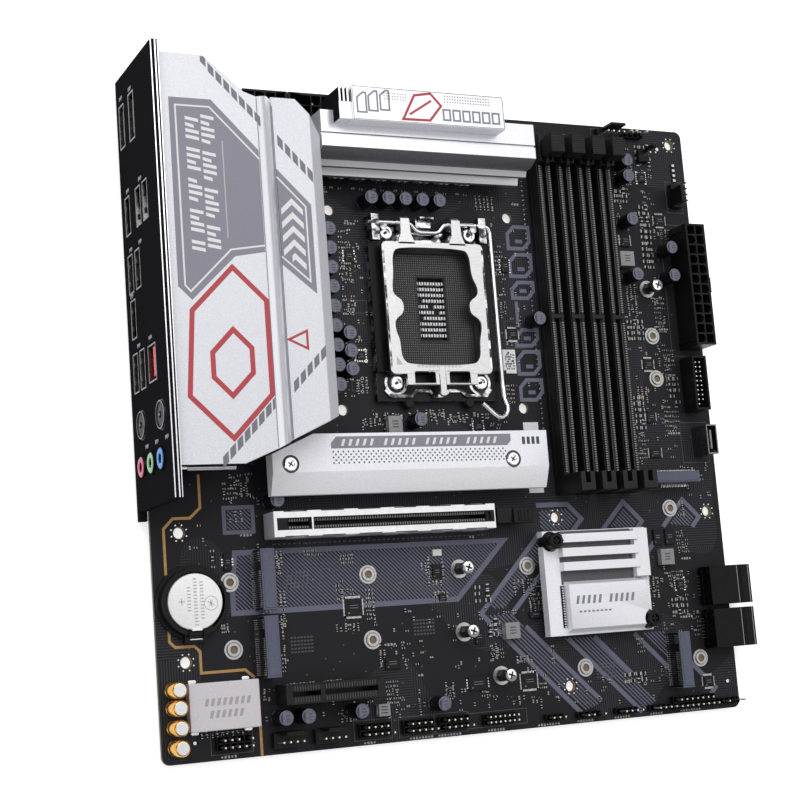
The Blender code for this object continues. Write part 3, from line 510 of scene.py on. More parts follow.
PRINT_PALE = mottled("board_legend", grey(0.30, 0.05), grey(0.42, 0.05), 2500, (0.5, 0.65))
PRINT_FAINT = mottled("faint_legend", grey(0.05, 0.08), grey(0.075, 0.08), 2500, (0.5, 0.65))
PRINT_RED = mottled("red_ink", (0.40, 0.035, 0.045), (0.48, 0.05, 0.06), 2500, (0.4, 0.55))
BARE_COPPER = mottled("bare_gold_track", (0.36, 0.21, 0.075), (0.46, 0.28, 0.11), 1500,
                      (0.35, 0.5), 0.6)
CELL_TOP = mottled("cell_steel", 0.82, 0.92, 1400, (0.34, 0.44), 0.45, bump=0.04)
PINK = mottled("pink_plastic", (0.62, 0.10, 0.20), (0.70, 0.14, 0.25), 1500, (0.3, 0.45))
GREEN = mottled("green_plastic", (0.24, 0.50, 0.27), (0.30, 0.56, 0.33), 1500, (0.3, 0.45))
BLUE = mottled("blue_plastic", (0.06, 0.22, 0.62), (0.09, 0.28, 0.70), 1500, (0.3, 0.45))
RED = mottled("red_plastic", (0.5, 0.012, 0.012), (0.6, 0.02, 0.02), 1500, (0.3, 0.45))
LABEL = mottled("white_label", grey(0.68, 0.01), grey(0.76, 0.01), 1500, (0.5, 0.65))
NICKEL = mottled("nickel_contacts", 0.12, 0.2, 3000, (0.35, 0.5), 0.8)
ETCHED_MARK = mottled("etched_mark", 0.45, 0.55, 2000)
PRINT_LINE = mottled("pale_line_ink", 0.42, 0.5, 2500)
CELL_MARK = mottled("cell_mark", 0.4, 0.5, 2500, metallic=0.6)
GREY_ETCH = mottled("grey_etch", (0.36, 0.32, 0.33), (0.42, 0.38, 0.39), 2500)


# ---- repeated small shapes, laid out by Geometry Nodes ----


class Tree(Nodes):
    """A Geometry Nodes tree in the making, with named inputs, that ends in one coated mesh."""

    def __init__(self, name, **inputs):
        self.tree = bpy.data.node_groups.new(name, "GeometryNodeTree")
        face = self.tree.interface
        for label, kind in (*inputs.items(), ("Finish", "Material")):
            face.new_socket(label, in_out="INPUT", socket_type="NodeSocket" + kind)
        face.new_socket("Made", in_out="OUTPUT", socket_type="NodeSocketGeometry")
        self.inputs = self.node("NodeGroupInput").outputs

    def ended(self, source):
        real = self.node("GeometryNodeRealizeInstances")
        coat = self.node("GeometryNodeSetMaterial")
        self.link(source, real.inputs["Geometry"])
        self.link(real.outputs["Geometry"], coat.inputs["Geometry"])
        self.link(self.inputs["Finish"], coat.inputs["Material"])
        self.link(coat.outputs["Geometry"], self.node("NodeGroupOutput").inputs["Made"])
        return self.tree


def stamp_tree(kind):
    """Node tree that sets one small solid on every point, sized and turned by the point."""
    made = Tree("stamp_" + kind, Points="Geometry", Sides="Int", Taper="Float")
    if kind == "box":
        shape = made.node("GeometryNodeMeshCube", Size=(1, 1, 1)).outputs["Mesh"]
    else:
        solid = made.node("GeometryNodeMeshCone", Radius_Bottom=0.5, Depth=1.0)
        made.link(made.inputs["Sides"], solid.inputs["Vertices"])
        half = made.node("ShaderNodeMath", operation="MULTIPLY")
        half.inputs[1].default_value = 0.5
        made.link(made.inputs["Taper"], half.inputs[0])
        made.link(half.outputs[0], solid.inputs["Radius Top"])
        sink = made.node("GeometryNodeTransform", Translation=(0, 0, -0.5))
        made.link(solid.outputs["Mesh"], sink.inputs["Geometry"])
        shape = sink.outputs["Geometry"]
    setter = made.node("GeometryNodeInstanceOnPoints")
    made.link(made.inputs["Points"], setter.inputs["Points"])
    made.link(shape, setter.inputs["Instance"])
    for name, socket in (("turn", "Rotation"), ("size", "Scale")):
        read = made.node("GeometryNodeInputNamedAttribute", data_type="FLOAT_VECTOR", Name=name)
        made.link(read.outputs["Attribute"], setter.inputs[socket])
    return made.ended(setter.outputs["Instances"])


def wire_tree():
    """Node tree that sweeps a round wire along a line, rounding its bends."""
    made = Tree("bent_wire", Route="Geometry", Radius="Float", Bend="Float", Sides="Int")
    line = made.node("GeometryNodeMeshToCurve")
    fillet = made.node("GeometryNodeFilletCurve", mode="POLY", Count=4, Limit_Radius=True)
    ring = made.node("GeometryNodeCurvePrimitiveCircle")
    sweep = made.node("GeometryNodeCurveToMesh", Fill_Caps=True)
    for source, target in (
            (made.inputs["Route"], line.inputs["Mesh"]),
            (line.outputs["Curve"], fillet.inputs["Curve"]),
            (made.inputs["Bend"], fillet.inputs["Radius"]),
            (made.inputs["Sides"], ring.inputs["Resolution"]),
            (made.inputs["Radius"], ring.inputs["Radius"]),
            (fillet.outputs["Curve"], sweep.inputs["Curve"]),
            (ring.outputs["Curve"], sweep.inputs["Profile Curve"])):
        made.link(source, target)
    return made.ended(sweep.outputs["Mesh"])


def grown(tree, name, points, edges=(), attributes=(), **values):
    """The plain mesh that a tree makes of a few points, its inputs set before it is evaluated."""
    mesh = bpy.data.meshes.new(name)
    mesh.from_pydata(points, edges, [])
    for label, vectors in attributes:
        data = mesh.attributes.new(label, "FLOAT_VECTOR", "POINT").data
        data.foreach_set("vector", [number for vector in vectors for number in vector])
    obj = added(name, mesh)
    modifier = obj.modifiers.new("grow", "NODES")
    modifier.node_group = tree
    for item in tree.interface.items_tree:
        if item.name in values and item.in_out == "INPUT":
            modifier[item.identifier] = values[item.name]
    graph = bpy.context.evaluated_depsgraph_get()
    made = bpy.data.meshes.new_from_object(obj.evaluated_get(graph))
    obj.modifiers.remove(modifier)
    bpy.data.objects.remove(obj)
    return made


STAMPS = {"box": stamp_tree("box"), "round": stamp_tree("round")}


class Bank:
    """Small solids of one finish, gathered while the board is laid out and made all at once."""

    every = []

    def __init__(self, name, look, kind="box", sides=10, taper=1.0, body="board", slot=None):
        self.name, self.look, self.kind, self.body, self.slot = name, look, kind, body, slot
        self.sides, self.taper = sides, taper
        self.points, self.sizes, self.turns = [], [], []
        Bank.every.append(self)

    def add(self, centre, size, turn=0.0, tip=(0.0, 0.0)):
        """A solid with its middle at `centre`; size is (along, down, up)."""
        self.points.append(spot(*centre))
        self.sizes.append(Vector(size) * MM)
        self.turns.append((math.radians(tip[0]), math.radians(tip[1]), math.radians(-turn)))

    def make(self):
        if not self.points:
            return
        made = grown(STAMPS[self.kind], self.name + "_points", self.points,
                     attributes=(("size", self.sizes), ("turn", self.turns)),
                     Sides=self.sides, Taper=self.taper, Finish=self.look)
        finished(self.name, [self.look], made, self.body, self.slot,
                 smooth=35 if self.kind == "round" else None)


PINS = Bank("header_pins", PIN_METAL)
BRIGHT_PINS = Bank("bright_pins", SOLDER)
CHIP_ENDS = Bank("chip_part_ends", PART_TIN)
CHIP_BODIES = Bank("chip_part_bodies", CHIP_BLACK)
TAN_BODIES = Bank("chip_part_tan_bodies", CHIP_TAN)
PACKAGE_LEADS = Bank("package_leads", SOLDER)
CONTACTS = Bank("slot_contacts", GOLD)
MASK_DOTS = Bank("mounting_solder_dots", SOLDER, "round", 8, 0.6)
UNDER_JOINTS = Bank("underside_solder_joints", SOLDER, "round", 6, 0.25)
LEGEND = Bank("legend_ticks", PRINT_PALE)
FAINT_LEGEND = Bank("faint_legend_ticks", PRINT_FAINT)
HEADER_CELLS = Bank("header_bases", BLACK_PLASTIC)
VIAS = Bank("via_pads", BARE_COPPER, "round", 6, 0.8)


# ---- the board ----

MOUNT_HOLES = [
    (10.16, 29.21), (10.16, 163.83), (10.16, 209.55), (165.10, 6.35),
    (165.10, 163.83), (165.10, 229.87), (237.49, 6.35), (237.49, 163.83),
]
COOLER_HOLES = [(along, down) for along in (77.17, 155.17) for down in (41.9, 119.9)]
SOCKET_SCREWS = [(98.2, 51.4), (134.3, 51.4), (98.2, 110.4), (134.3, 110.4)]


def circuit_board():
    """The laminate with its solder mask, drilled holes and raised underside pads."""
    edge = (BOARD_REAR, BOARD_REAR + BOARD_SIZE)
    slab = Making()
    slab.prism(round_rectangle(edge, (0, BOARD_SIZE), 3.0, 6), (-BOARD_THICK, 0))
    holes = [(a, d, 1.98) for a, d in MOUNT_HOLES] + [(a, d, 2.1) for a, d in COOLER_HOLES]
    holes += [(a, d, 2.0) for a, d in SOCKET_SCREWS]
    drill = Making()
    for a, d, radius in holes:
        drill.post((a, d), (-5, 5), radius, sides=32)
    mesh = cut_out("board", slab, drill)
    for polygon in mesh.polygons:
        polygon.material_index = 0 if abs(polygon.normal.z) > 0.5 else 1
    finished("circuit_board_finished", [SOLDER_MASK, BOARD_EDGE], mesh, slot="board",
             replaces=("circuit_board",))
    for (a, d), i, up in product(MOUNT_HOLES, range(8), (0.08, -BOARD_THICK - 0.08)):
        MASK_DOTS.add((*around((a, d), 3.0, 45 * (i + 0.5)), up), (0.95, 0.95, 0.3))
    lands = Making()
    for a, d in MOUNT_HOLES:
        lands.ring((a, d), 1.99, 2.25, (-0.3, 0.03), 1)
        lands.ring((a, d), 2.05, 4.1, (-BOARD_THICK - 0.1, -BOARD_THICK + 0.02))
    for a, d in COOLER_HOLES:
        lands.ring((a, d), 2.15, 2.75, (-BOARD_THICK - 0.05, -BOARD_THICK + 0.02))
    piece("mounting_lands", lands, [SOLDER, HOLE_BROWN], slot="connector_shell")


def clipped(line, polygon):
    """The stretches of a line (point, direction) that lie inside a polygon, as pairs of points."""
    point, run = Vector(line[0]), Vector(line[1])
    cuts = []
    for i, start in enumerate(polygon):
        first, second = Vector(start), Vector(polygon[(i + 1) % len(polygon)])
        side = second - first
        cross = run.x * side.y - run.y * side.x
        if abs(cross) < 1e-9:
            continue
        apart = first - point
        along_edge = (apart.x * run.y - apart.y * run.x) / cross
        if 0 <= along_edge < 1:
            cuts.append((apart.x * side.y - apart.y * side.x) / cross)
    cuts.sort()
    stretches = [(a, b) for a, b in zip(cuts[::2], cuts[1::2]) if b - a > 0.3]
    return [(point + run * a, point + run * b) for a, b in stretches]


def clear_of_holes(first, last, margin=2.7):
    """The parts of a stroke that stay clear of the mounting holes."""
    run = (last - first).normalized()
    length = (last - first).length
    for hole in MOUNT_HOLES:
        along = (Vector(hole) - first).dot(run)
        apart = (Vector(hole) - first - run * along).length
        if apart < margin and -margin < along < length + margin:
            half = math.sqrt(margin * margin - apart * apart)
            parts = [(0.0, along - half), (along + half, length)]
            return [(first + run * a, first + run * b) for a, b in parts if b - a > 0.4]
    return [(first, last)]


def hatched(making, polygon, pitch, width, degrees, up=(0.0, 0.04), look=0):
    """Parallel strokes across a polygon."""
    run = Vector((math.cos(math.radians(degrees)), math.sin(math.radians(degrees))))
    across = Vector((-run.y, run.x))
    offsets = [Vector(p).dot(across) for p in polygon]
    count = int((max(offsets) - min(offsets)) / pitch)
    for i in range(count):
        start = across * (min(offsets) + (i + 0.5) * pitch)
        for first, last in clipped((start, run), polygon):
            for near, far in clear_of_holes(first, last):
                making.stroke([near, far], width, up, look)


def board_print():
    """Lilac-grey bands, hatching, the bare gold track and pale legends on the component side."""
    ink = Making()
    top = (0.0, 0.04)
    module_field = [(30.6, 171.9), (141.0, 171.9), (119.0, 193.4), (29.0, 193.4), (29.0, 186.0)]
    ink.stroke(module_field, 2.0, top, closed=True)
    hatched(ink, [(31.6, 172.9), (138.6, 172.9), (118.4, 192.4), (30.0, 192.4), (30.0, 187.0)], 1.1,
            0.5, 45)
    bands = [
        [(157.5, 169.6), (133.6, 194.4), (128.6, 199.6), (169.0, 240.5)],
        [(158.6, 183.6), (142.0, 200.4)],
        [(147.5, 205.6), (178.5, 236.6)],
        [(166.0, 211.5), (196.9, 242.4)],
        [(178.0, 211.5), (193.6, 227.1)],
        [(196.6, 211.5), (212.0, 226.8)],
        [(156.8, 158.8), (171.0, 158.8), (177.0, 164.8), (171.8, 170.0)],
        [(186.6, 169.4), (197.2, 158.6), (205.4, 166.8), (202.0, 170.2)],
        [(215.4, 169.4), (226.0, 158.6), (233.4, 166.0), (229.6, 170.0)],
        [(203.0, 183.0), (214.0, 172.0)],
        [(222.0, 224.6), (233.0, 235.6), (226.4, 242.4)],
    ]
    for band in bands:
        ink.stroke(band, 1.9, top)
    strips = [
        [(156.0, 173.0), (164.0, 173.0), (139.0, 198.0), (134.0, 198.0), (132.6, 196.4)],
        [(131.0, 200.4), (142.0, 200.4), (147.0, 206.4), (178.0, 237.4), (170.0, 240.0)],
        [(168.0, 211.5), (177.0, 211.5), (204.0, 238.6), (198.4, 241.6)],
        [(198.8, 211.5), (211.0, 211.5), (211.8, 224.4)],
        [(158.0, 160.8), (170.2, 160.8), (174.6, 164.8), (170.0, 169.4), (158.0, 169.4)],
        [(190.0, 168.6), (197.2, 161.2), (203.0, 167.0), (201.0, 169.4)],
        [(218.6, 168.6), (226.0, 161.2), (231.0, 166.2), (228.0, 169.4)],
    ]
    for strip in strips:
        hatched(ink, strip, 1.25, 0.5, 45)
    ink.outline((27.4, 38.4), (155.4, 164.4), 1.5, top)
    hatched(ink, rectangle((28.4, 37.4), (156.4, 163.4)), 1.1, 0.5, 45)
    tabs = [(45.5, 9.0), (57.0, 9.0), (68.5, 6.5), (88.0, 6.5), (97.0, 9.0), (108.5, 8.0)]
    for low, height in tabs:
        outer = [(154.6, low + 3.0), (157.6, low), (164.4, low), (164.4, low + height - 3),
                 (161.4, low + height), (154.6, low + height)]
        ink.stroke(outer, 1.5, top, closed=True)
        ink.stroke([(158.0, low + height - 3.0), (161.2, low + height - 3.0)], 1.5, top)
    ink.stroke([(156.0, 76.5), (156.0, 87.0)], 1.5, top)
    printed("lilac_band_print", ink, [PRINT_LILAC])

    track = Making()
    runs = [
        [(18.6, 143.0), (18.6, 155.0), (14.6, 158.6), (8.2, 158.6), (4.6, 162.2), (4.6, 178.6)],
        [(4.6, 197.6), (4.6, 202.0), (6.6, 204.0), (13.6, 204.0), (15.6, 206.0), (15.6, 213.6),
         (32.0, 213.6), (35.4, 216.6)],
        [(36.4, 233.4), (36.4, 244.2)],
    ]
    for run in runs:
        track.stroke(run, 1.0, (0.0, 0.03))
    printed("bare_gold_track", track, [BARE_COPPER])

    tapes = Making()
    for along, down in (((147.6, 153.4), (96.2, 105.8)), ((154.2, 161.0), (125.6, 130.4)),
                        ((154.4, 161.0), (151.0, 153.8))):
        tapes.box(along, down, (0.02, 0.12))
    for row, column in product(range(7), range(5)):
        if (row * 7 + column * 5 + row * column) % 3:
            place = (148.9 + column * 0.62, 98.2 + row * 0.95)
            tapes.block(place, (0.5, 0.7), (0.12, 0.14), 1)
    for row in range(6):
        tapes.block((152.4, 98.4 + row * 1.1), (0.7, 0.6), (0.12, 0.14), 1)
    printed("paper_labels", tapes, [LABEL, CAN_MARK])


# ---- small parts ----


def chip_part(along, down, length=1.6, width=0.8, height=0.55, turn=0.0, tan=False, ends=True):
    """A resistor or ceramic capacitor with its soldered ends."""
    (TAN_BODIES if tan else CHIP_BODIES).add((along, down, height / 2 + 0.05),
                                             (length * 0.62, width * 0.96, height), turn)
    if ends:
        for side in (-1, 1):
            CHIP_ENDS.add((*around((along, down), side * length * 0.40, turn), height * 0.42),
                          (length * 0.27, width * 1.04, height * 0.84), turn)


def cluster(along, down, columns, rows, step=(2.0, 1.3), turn=0.0, size=(1.3, 0.7), tan_share=0.25,
            gaps=0.12):
    """A block of chip parts in rows, with a few left out."""
    for i, j in product(range(columns), range(rows)):
        if random.random() < gaps:
            continue
        slip = (random.uniform(-0.2, 0.2), random.uniform(-0.15, 0.15))
        share = random.uniform(0.8, 1.1)
        chip_part(along + i * step[0] + slip[0], down + j * step[1] + slip[1], size[0] * share,
                  size[1] * share, size[1] * 0.7, turn + 90 * (random.random() < 0.15),
                  random.random() < tan_share)


PACKAGES = Making()
PACKAGE_MARKS = Making()


def package(along, down, size, height=1.0, leads=(0, 0), pitch=0.65, reach_out=0.8):
    """A moulded chip; leads counts those on each long side and on each end."""
    half_a, half_d = size[0] / 2, size[1] / 2
    PACKAGES.box((along - half_a, along + half_a), (down - half_d, down + half_d), (0.1, height))
    PACKAGE_MARKS.ring((along - half_a * 0.66, down + half_d * 0.62), 0.01,
                       min(half_a, half_d) * 0.12, (height, height + 0.015), sides=10)
    for row in range(2 if min(size) > 2.5 else 1):
        PACKAGE_MARKS.block((along, down - half_d * 0.2 + row * 0.9), (half_a * 1.0, 0.22),
                            (height, height + 0.012))
    for side in (-1, 1):
        for offset in centred(leads[0], pitch):
            PACKAGE_LEADS.add((along + side * (half_a + reach_out / 2), down + offset, 0.12),
                              (reach_out, pitch * 0.5, 0.18))
        for offset in centred(leads[1], pitch):
            PACKAGE_LEADS.add((along + offset, down + side * (half_d + reach_out / 2), 0.12),
                              (pitch * 0.5, reach_out, 0.18))


CAN_PROFILE = [(1.0, 0.15, 0), (1.0, 0.5, 0), (0.93, 0.62, 0), (0.93, 0.9, 0), (1.0, 1.05, 0),
               (1.0, -0.35, 0), (0.95, -0.08, 1), (0.86, 0.0, 1), (0.84, -0.1, 1)]


def capacitor(making, along, down, radius=2.8, height=9.0, looks=(0, 1, 2)):
    """A round can with a rolled groove at its foot and a rimmed, marked top."""
    profile = [(radius * r, u if i < 5 else height + u) for i, (r, u, _) in enumerate(CAN_PROFILE)]
    tones = [looks[tone] for _, _, tone in CAN_PROFILE]
    making.turning((along, down), profile, looks=tones, sides=26)
    top = height - 0.1
    making.prism(circle((along, down), radius * 0.80, 10, 128, 104), (top, top + 0.03), looks[2])
    for row, length in ((-0.25, 0.5), (0.12, 0.62), (0.48, 0.4)):
        making.block((along + radius * 0.22, down + radius * row), (radius * length, 0.32),
                     (top, top + 0.03), looks[2])


def capacitors():
    """Every round can on the board, in its row or alone."""
    cans = [CAN_SIDE, CAN_TOP, CAN_MARK]
    left = Making()
    for step in range(9):
        capacitor(left, 73.1, 51.6 + 7.5 * step)
    for step in range(3):
        capacitor(left, 78.6, 91.8 + 6.9 * step)
    piece("capacitors_left", left, cans, slot="capacitor_can", replaces=("capacitor_bank_left",))
    top = Making()
    for step in range(5):
        capacitor(top, 91.6 + 7.3 * step, 38.5)
    piece("capacitors_top", top, cans, slot="capacitor_can", replaces=("capacitor_bank_top",))
    single = Making()
    places = [(209.9, 16.8), (209.9, 23.6), (209.7, 42.1), (209.7, 65.6), (227.8, 53.7),
              (227.8, 65.6), (105.3, 125.1), (45.1, 153.9), (161.2, 85.0), (43.2, 231.6),
              (51.8, 231.6), (72.6, 231.6), (105.9, 231.6)]
    for along, down in places:
        capacitor(single, along, down)
        chip_part(along - 4.4, down, 1.4, 0.8, turn=90)
    piece("capacitors_single", single, cans, slot="capacitor_can")
    audio = Making()
    for down in (218.8, 225.0, 231.8, 238.6):
        profile = [(2.85, 0.2), (2.85, 0.7), (2.6, 0.9), (2.6, 1.3), (2.85, 1.5), (2.85, 8.9),
                   (2.5, 9.4), (2.25, 9.5)]
        audio.turning((4.6, down), profile, looks=[0] * 7 + [1], sides=28)
        audio.rod((4.6, down, 9.4), (4.6, down, 9.58), 2.2, 1, 28)
        audio.box((4.3, 4.9), (down - 2.95, down - 2.7), (1.6, 8.6), 2)
    piece("audio_capacitors", audio, [GOLD_CAN, SATIN_STEEL, CAN_MARK], slot="gold_sleeve",
          replaces=("audio_capacitor_bank",))


def chokes():
    """Power-stage chokes under the heatsinks and the single ones on the open board."""
    left = Making()
    for step in range(11):
        down = 20.0 + 9.0 * step
        left.box((50.7, 57.3), (down + 0.1, down + 6.5), (0.4, 7.3))
        for side in (-0.2, 6.6):
            left.box((52.5, 55.5), (down + side, down + side + 0.2), (0.4, 4.0), 1)
    piece("chokes_left", left, [CHOKE, SOLDER], slot="choke_core", bevel=0.3,
          replaces=("choke_bank_left",))
    top = Making()
    for step in range(7):
        along = 77.2 + 9.1 * step
        top.box((along + 0.1, along + 6.7), (22.7, 29.6), (0.4, 6.9))
        for shift in (1.4, 4.0):
            top.box((along + shift, along + shift + 1.6), (29.5, 30.3), (0.2, 3.4), 1)
        chip_part(along + 1.4, 33.0, 1.2, 0.7, tan=True)
        chip_part(along + 4.8, 33.2, 1.2, 0.7)
    piece("chokes_top", top, [CHOKE, SOLDER], slot="choke_core", bevel=0.3,
          replaces=("choke_bank_top",))
    single = Making()
    for along, down, height in (
            ((205.3, 211.9), (54.8, 61.0), 3.8), ((94.2, 100.0), (122.8, 129.4), 3.2),
            ((136.9, 143.1), (203.7, 209.9), 3.4), ((81.7, 86.2), (230.0, 234.4), 3.0),
            ((211.0, 217.2), (178.7, 185.0), 3.2)):
        single.box(along, down, (0.3, height))
        single.box((along[0] - 0.35, along[1] + 0.35), (sum(down) / 2 - 1.4, sum(down) / 2 + 1.4),
                   (0.05, 1.4), 1)
        middle = (sum(along) / 2, sum(down) / 2)
        for row in range(3):
            single.block((middle[0], middle[1] - 1.2 + 1.1 * row), (2.6, 0.4),
                         (height, height + 0.02), 2)
    piece("chokes_single", single, [CHOKE, SOLDER, CAN_MARK], slot="choke_core", bevel=0.25)


def posts():
    """Threaded posts with their screws, and the low standoff rings for card modules."""
    metal = Making()
    for along, down in ((219.0, 70.0), (120.5, 182.0), (120.5, 206.0), (135.0, 223.5)):
        metal.ring((along, down), 2.2, 3.6, (0.0, 0.5))
        metal.turning((along, down), [(2.5, 0.3), (2.5, 1.2), (2.2, 1.4), (2.2, 6.4), (2.5, 6.6),
                                      (2.5, 7.3)], 2, sides=6)
        metal.turning((along, down), [(1.5, 7.2), (2.5, 7.3), (2.55, 7.9), (2.3, 8.5), (1.7, 8.7)],
                      5, 28)
        for turn in (20, 110):
            metal.block((along, down), (2.9, 0.75), (8.66, 8.73), 1, turn)
    for along, down in (
            (219.3, 90.0), (219.3, 108.0), (219.3, 162.0), (28.0, 182.3), (28.0, 206.3),
            (82.3, 182.2), (82.3, 206.4), (150.3, 182.3), (172.5, 223.3), (227.0, 223.4)):
        metal.ring((along, down), 2.75, 3.5, (0.0, 0.35), sides=32)
        metal.ring((along, down), 2.35, 2.8, (0.0, 0.12), 4, sides=32)
        metal.ring((along, down), 1.45, 2.4, (0.0, 0.8), sides=32)
        metal.post((along, down), (0.0, 0.2), 1.5, 3, 24)
    piece("module_posts", metal, [ZINC_RING, CAN_MARK, BLACK_PLASTIC, HOLE_BROWN, SHELL_STEEL,
                                        BRIGHT_STEEL], slot="bright_steel", bevel=0.12)


# ---- processor socket ----


HINGE_DOWN, HINGE_UP = 47.2, 4.8


def socket():
    """The processor socket: frame, plate, housing, contacts, screws and lever."""
    frame_extra = Making()
    frame_extra.prism([(112.6, 44.6), (119.4, 44.6), (119.2, 48.2), (112.8, 48.2)], (1.2, 2.2))
    frame_extra.prism([(44.6, 1.2), (48.2, 1.2), (48.2, 2.2), (46.0, 2.4), (45.5, 5.9),
                       (44.6, 5.9)], (113.0, 119.0), run="along")
    for side in (96.5, 135.5):
        frame_extra.rod((side, 49.4, 6.0), (side, 49.4, 7.2), 1.5, sides=20)
    for screw in SOCKET_SCREWS[2:]:
        frame_extra.ring(screw, 3.7, 4.8, (3.0, 4.0), sides=36)
    strip = [(93.6, 112.8), (95.8, 115.4), (104.4, 115.4), (106.6, 113.4), (112.2, 113.4),
             (114.0, 115.4), (118.6, 115.4), (120.4, 113.4), (126.0, 113.4), (128.2, 115.4),
             (136.8, 115.4), (139.0, 112.8)]
    frame_extra.stroke(strip, 1.3, (3.0, 4.0))
    for along in (103.6, 129.6):
        frame_extra.rod((along, 118.0, 0.2), (along, 118.0, 3.6), 1.7, 1, 18)
        for level in (0.8, 1.7, 2.6):
            frame_extra.ring((along, 118.0), 1.6, 2.0, (level, level + 0.45), 1, 18)
    refined("socket_frame", [PAINTED_REFLECTION_CHROME, BLACK_PLASTIC], 0.35, extra=frame_extra,
            slot="bright_steel", segments=3,
            tone=lambda normal, middle: int(normal.z > 0.9 and middle[1] > 54 and middle[2] < 4.7))
    refined("socket_backplate", [BRIGHT_STEEL], 0.3, slot="bright_steel")
    load_plate()
    refined("socket_housing", [GREY_PLASTIC], 0.2, slot="black_plastic")
    (a0, a1), (d0, d1), _ = reach("socket_housing")
    contacts = Bank("socket_contacts", NICKEL)
    parts = Bank("socket_well_parts", PRINT_WHITE)
    for i, j in product(range(38), range(48)):
        a, d = a0 + 2.9 + i * 0.92, d0 + 2.9 + j * 0.93
        if 110.4 < a < 123.4 and 67.8 < d < 94.0:
            continue
        contacts.add((a, d, 2.52), (0.42, 0.3, 0.3), 30)
    for i, j in product(range(5), range(10)):
        if (i, j) in ((0, 3), (2, 4), (3, 5), (0, 6)):
            continue
        parts.add((112.1 + i * 2.4, 70.5 + j * 2.3, 1.0), (1.75, 1.15, 1.4))
        CHIP_BODIES.add((112.1 + i * 2.4, 70.5 + j * 2.3, 1.0), (0.55, 1.17, 1.42))
    rim = Making()
    rim.outline((110.7, 123.1), (68.1, 93.7), 0.5, (2.3, 2.9))
    rim.stroke([(110.7, 68.1), (110.7, 62.0)], 0.3, (2.35, 2.6))
    piece("socket_well_rim", rim, [GREY_PLASTIC], slot="black_plastic", smooth=None)
    mark = Making()
    mark.prism([(97.2, 100.6), (99.8, 104.0), (97.2, 104.0)], (8.4, 8.42))
    for row, length in ((104.6, 20.0), (106.4, 11.0)):
        for step in range(int(length / 1.6)):
            mark.block((116.3 - length / 2 + step * 1.6, row), (1.0, 0.9), (8.4, 8.42))
    printed("load_plate_marks", mark, body="load_plate", looks=[ETCHED_MARK])
    for index, (a, d) in enumerate(SOCKET_SCREWS):
        _, _, (_, top) = reach(f"socket_screw_{index + 1}")
        head = Making()
        head.turning((a, d), [(2.0, top - 2.0), (2.8, top - 1.9), (2.8, top - 0.4), (2.4, top),
                              (1.55, top + 0.02), (1.4, top - 0.9)], sides=28)
        head.turning((a, d), [(0.55, top - 0.9), (0.55, top - 0.25), (0.35, top - 0.2)], 1, 10)
        head.post((a, d), (-3.2, 4.0), 1.45, sides=18)
        head.ring((a, d), 2.2, 3.9, (3.02, 3.2), 1)
        piece(f"socket_screw_{index + 1}_finished", head, [BRIGHT_STEEL, CAN_MARK],
              slot="bright_steel", replaces=(f"socket_screw_{index + 1}",))
    lever()


def smoothed(points, rounds=2):
    """A closed outline with its corners cut over and over until they look round."""
    for _ in range(rounds):
        cut = []
        for i, here in enumerate(points):
            after = points[(i + 1) % len(points)]
            for share in (0.22, 0.78):
                cut.append((here[0] + (after[0] - here[0]) * share,
                            here[1] + (after[1] - here[1]) * share))
        points = cut
    return points


def load_plate():
    """The sprung plate: a rimmed sheet with a smooth window, hinge arms, feet and a tongue."""
    span = (7.2, 8.4)
    window = [(98.8, 60.6), (101.2, 57.9), (129.4, 57.9), (131.9, 60.4), (132.2, 68.6),
              (134.4, 73.0), (134.4, 76.2), (130.4, 78.8), (130.4, 83.6), (134.8, 86.4),
              (134.8, 90.4), (133.6, 94.4), (133.4, 101.0), (130.6, 104.0), (102.4, 104.0),
              (99.6, 101.2), (99.4, 94.4), (97.9, 90.4), (97.9, 86.6), (101.9, 83.8),
              (101.9, 79.0), (97.9, 76.4), (97.9, 72.6), (98.6, 68.6)]
    sheet, hole = Making(), Making()
    sheet.prism(round_rectangle((94.4, 138.2), (55.6, 107.6), 2.2, 5), span)
    hole.prism(smoothed(window, 3), (5.0, 10.0))
    for along in ((104.4, 113.2), (119.2, 128.2)):
        hole.prism(round_rectangle(along, (106.6, 109.6), 0.8, 3), (5.0, 10.0))
    mesh = cut_out("plate", sheet, hole)
    rest = Making()
    for a in (105.2, 127.2):
        rest.prism([(a - 3.9, 56.6), (a + 3.9, 56.6), (a + 2.2, 52.4), (a + 1.9, 46.2),
                    (a - 1.9, 46.2), (a - 2.2, 52.4)], span)
        rest.rod((a - 1.9, HINGE_DOWN, HINGE_UP), (a + 1.9, HINGE_DOWN, HINGE_UP), 2.9, sides=28)
    rest.prism([(114.9, 104.4), (117.5, 104.4), (117.5, 115.6), (116.9, 116.0), (115.5, 116.0),
                (114.9, 115.6)], (7.0, 8.5))
    for along in ((101.2, 104.4), (113.2, 114.8), (117.6, 119.2), (128.2, 131.4)):
        rest.box(along, (107.0, 111.8), (7.25, 8.35))
    for along in ((103.2, 113.6), (118.8, 129.4)):
        rest.rod((along[0], 111.4, 7.8), (along[1], 111.4, 7.8), 0.6, sides=14)
    bm = bmesh.new()
    bm.from_mesh(mesh)
    bm.from_mesh(rest.mesh("plate_rest"))
    bm.to_mesh(mesh)
    bm.free()
    finished("load_plate_finished", [PLATE_STEEL], mesh, "load_plate", slot="bright_steel",
             bevel=0.45, segments=4, replaces=("socket_load_plate",))
    # Painted shade: thin strips of painted-reflection chrome on the plate's two long sides, where
    # its rolled edges turn away from the light.
    shade = Making()
    for low, high in ((94.5, 95.3), (137.3, 138.1)):
        shade.box((low, high), (58.0, 105.4), (8.32, 8.41))
    piece("load_plate_edge_shade", shade, [PAINTED_REFLECTION_CHROME], body="load_plate", slot="bright_steel",
          bevel=0.04)


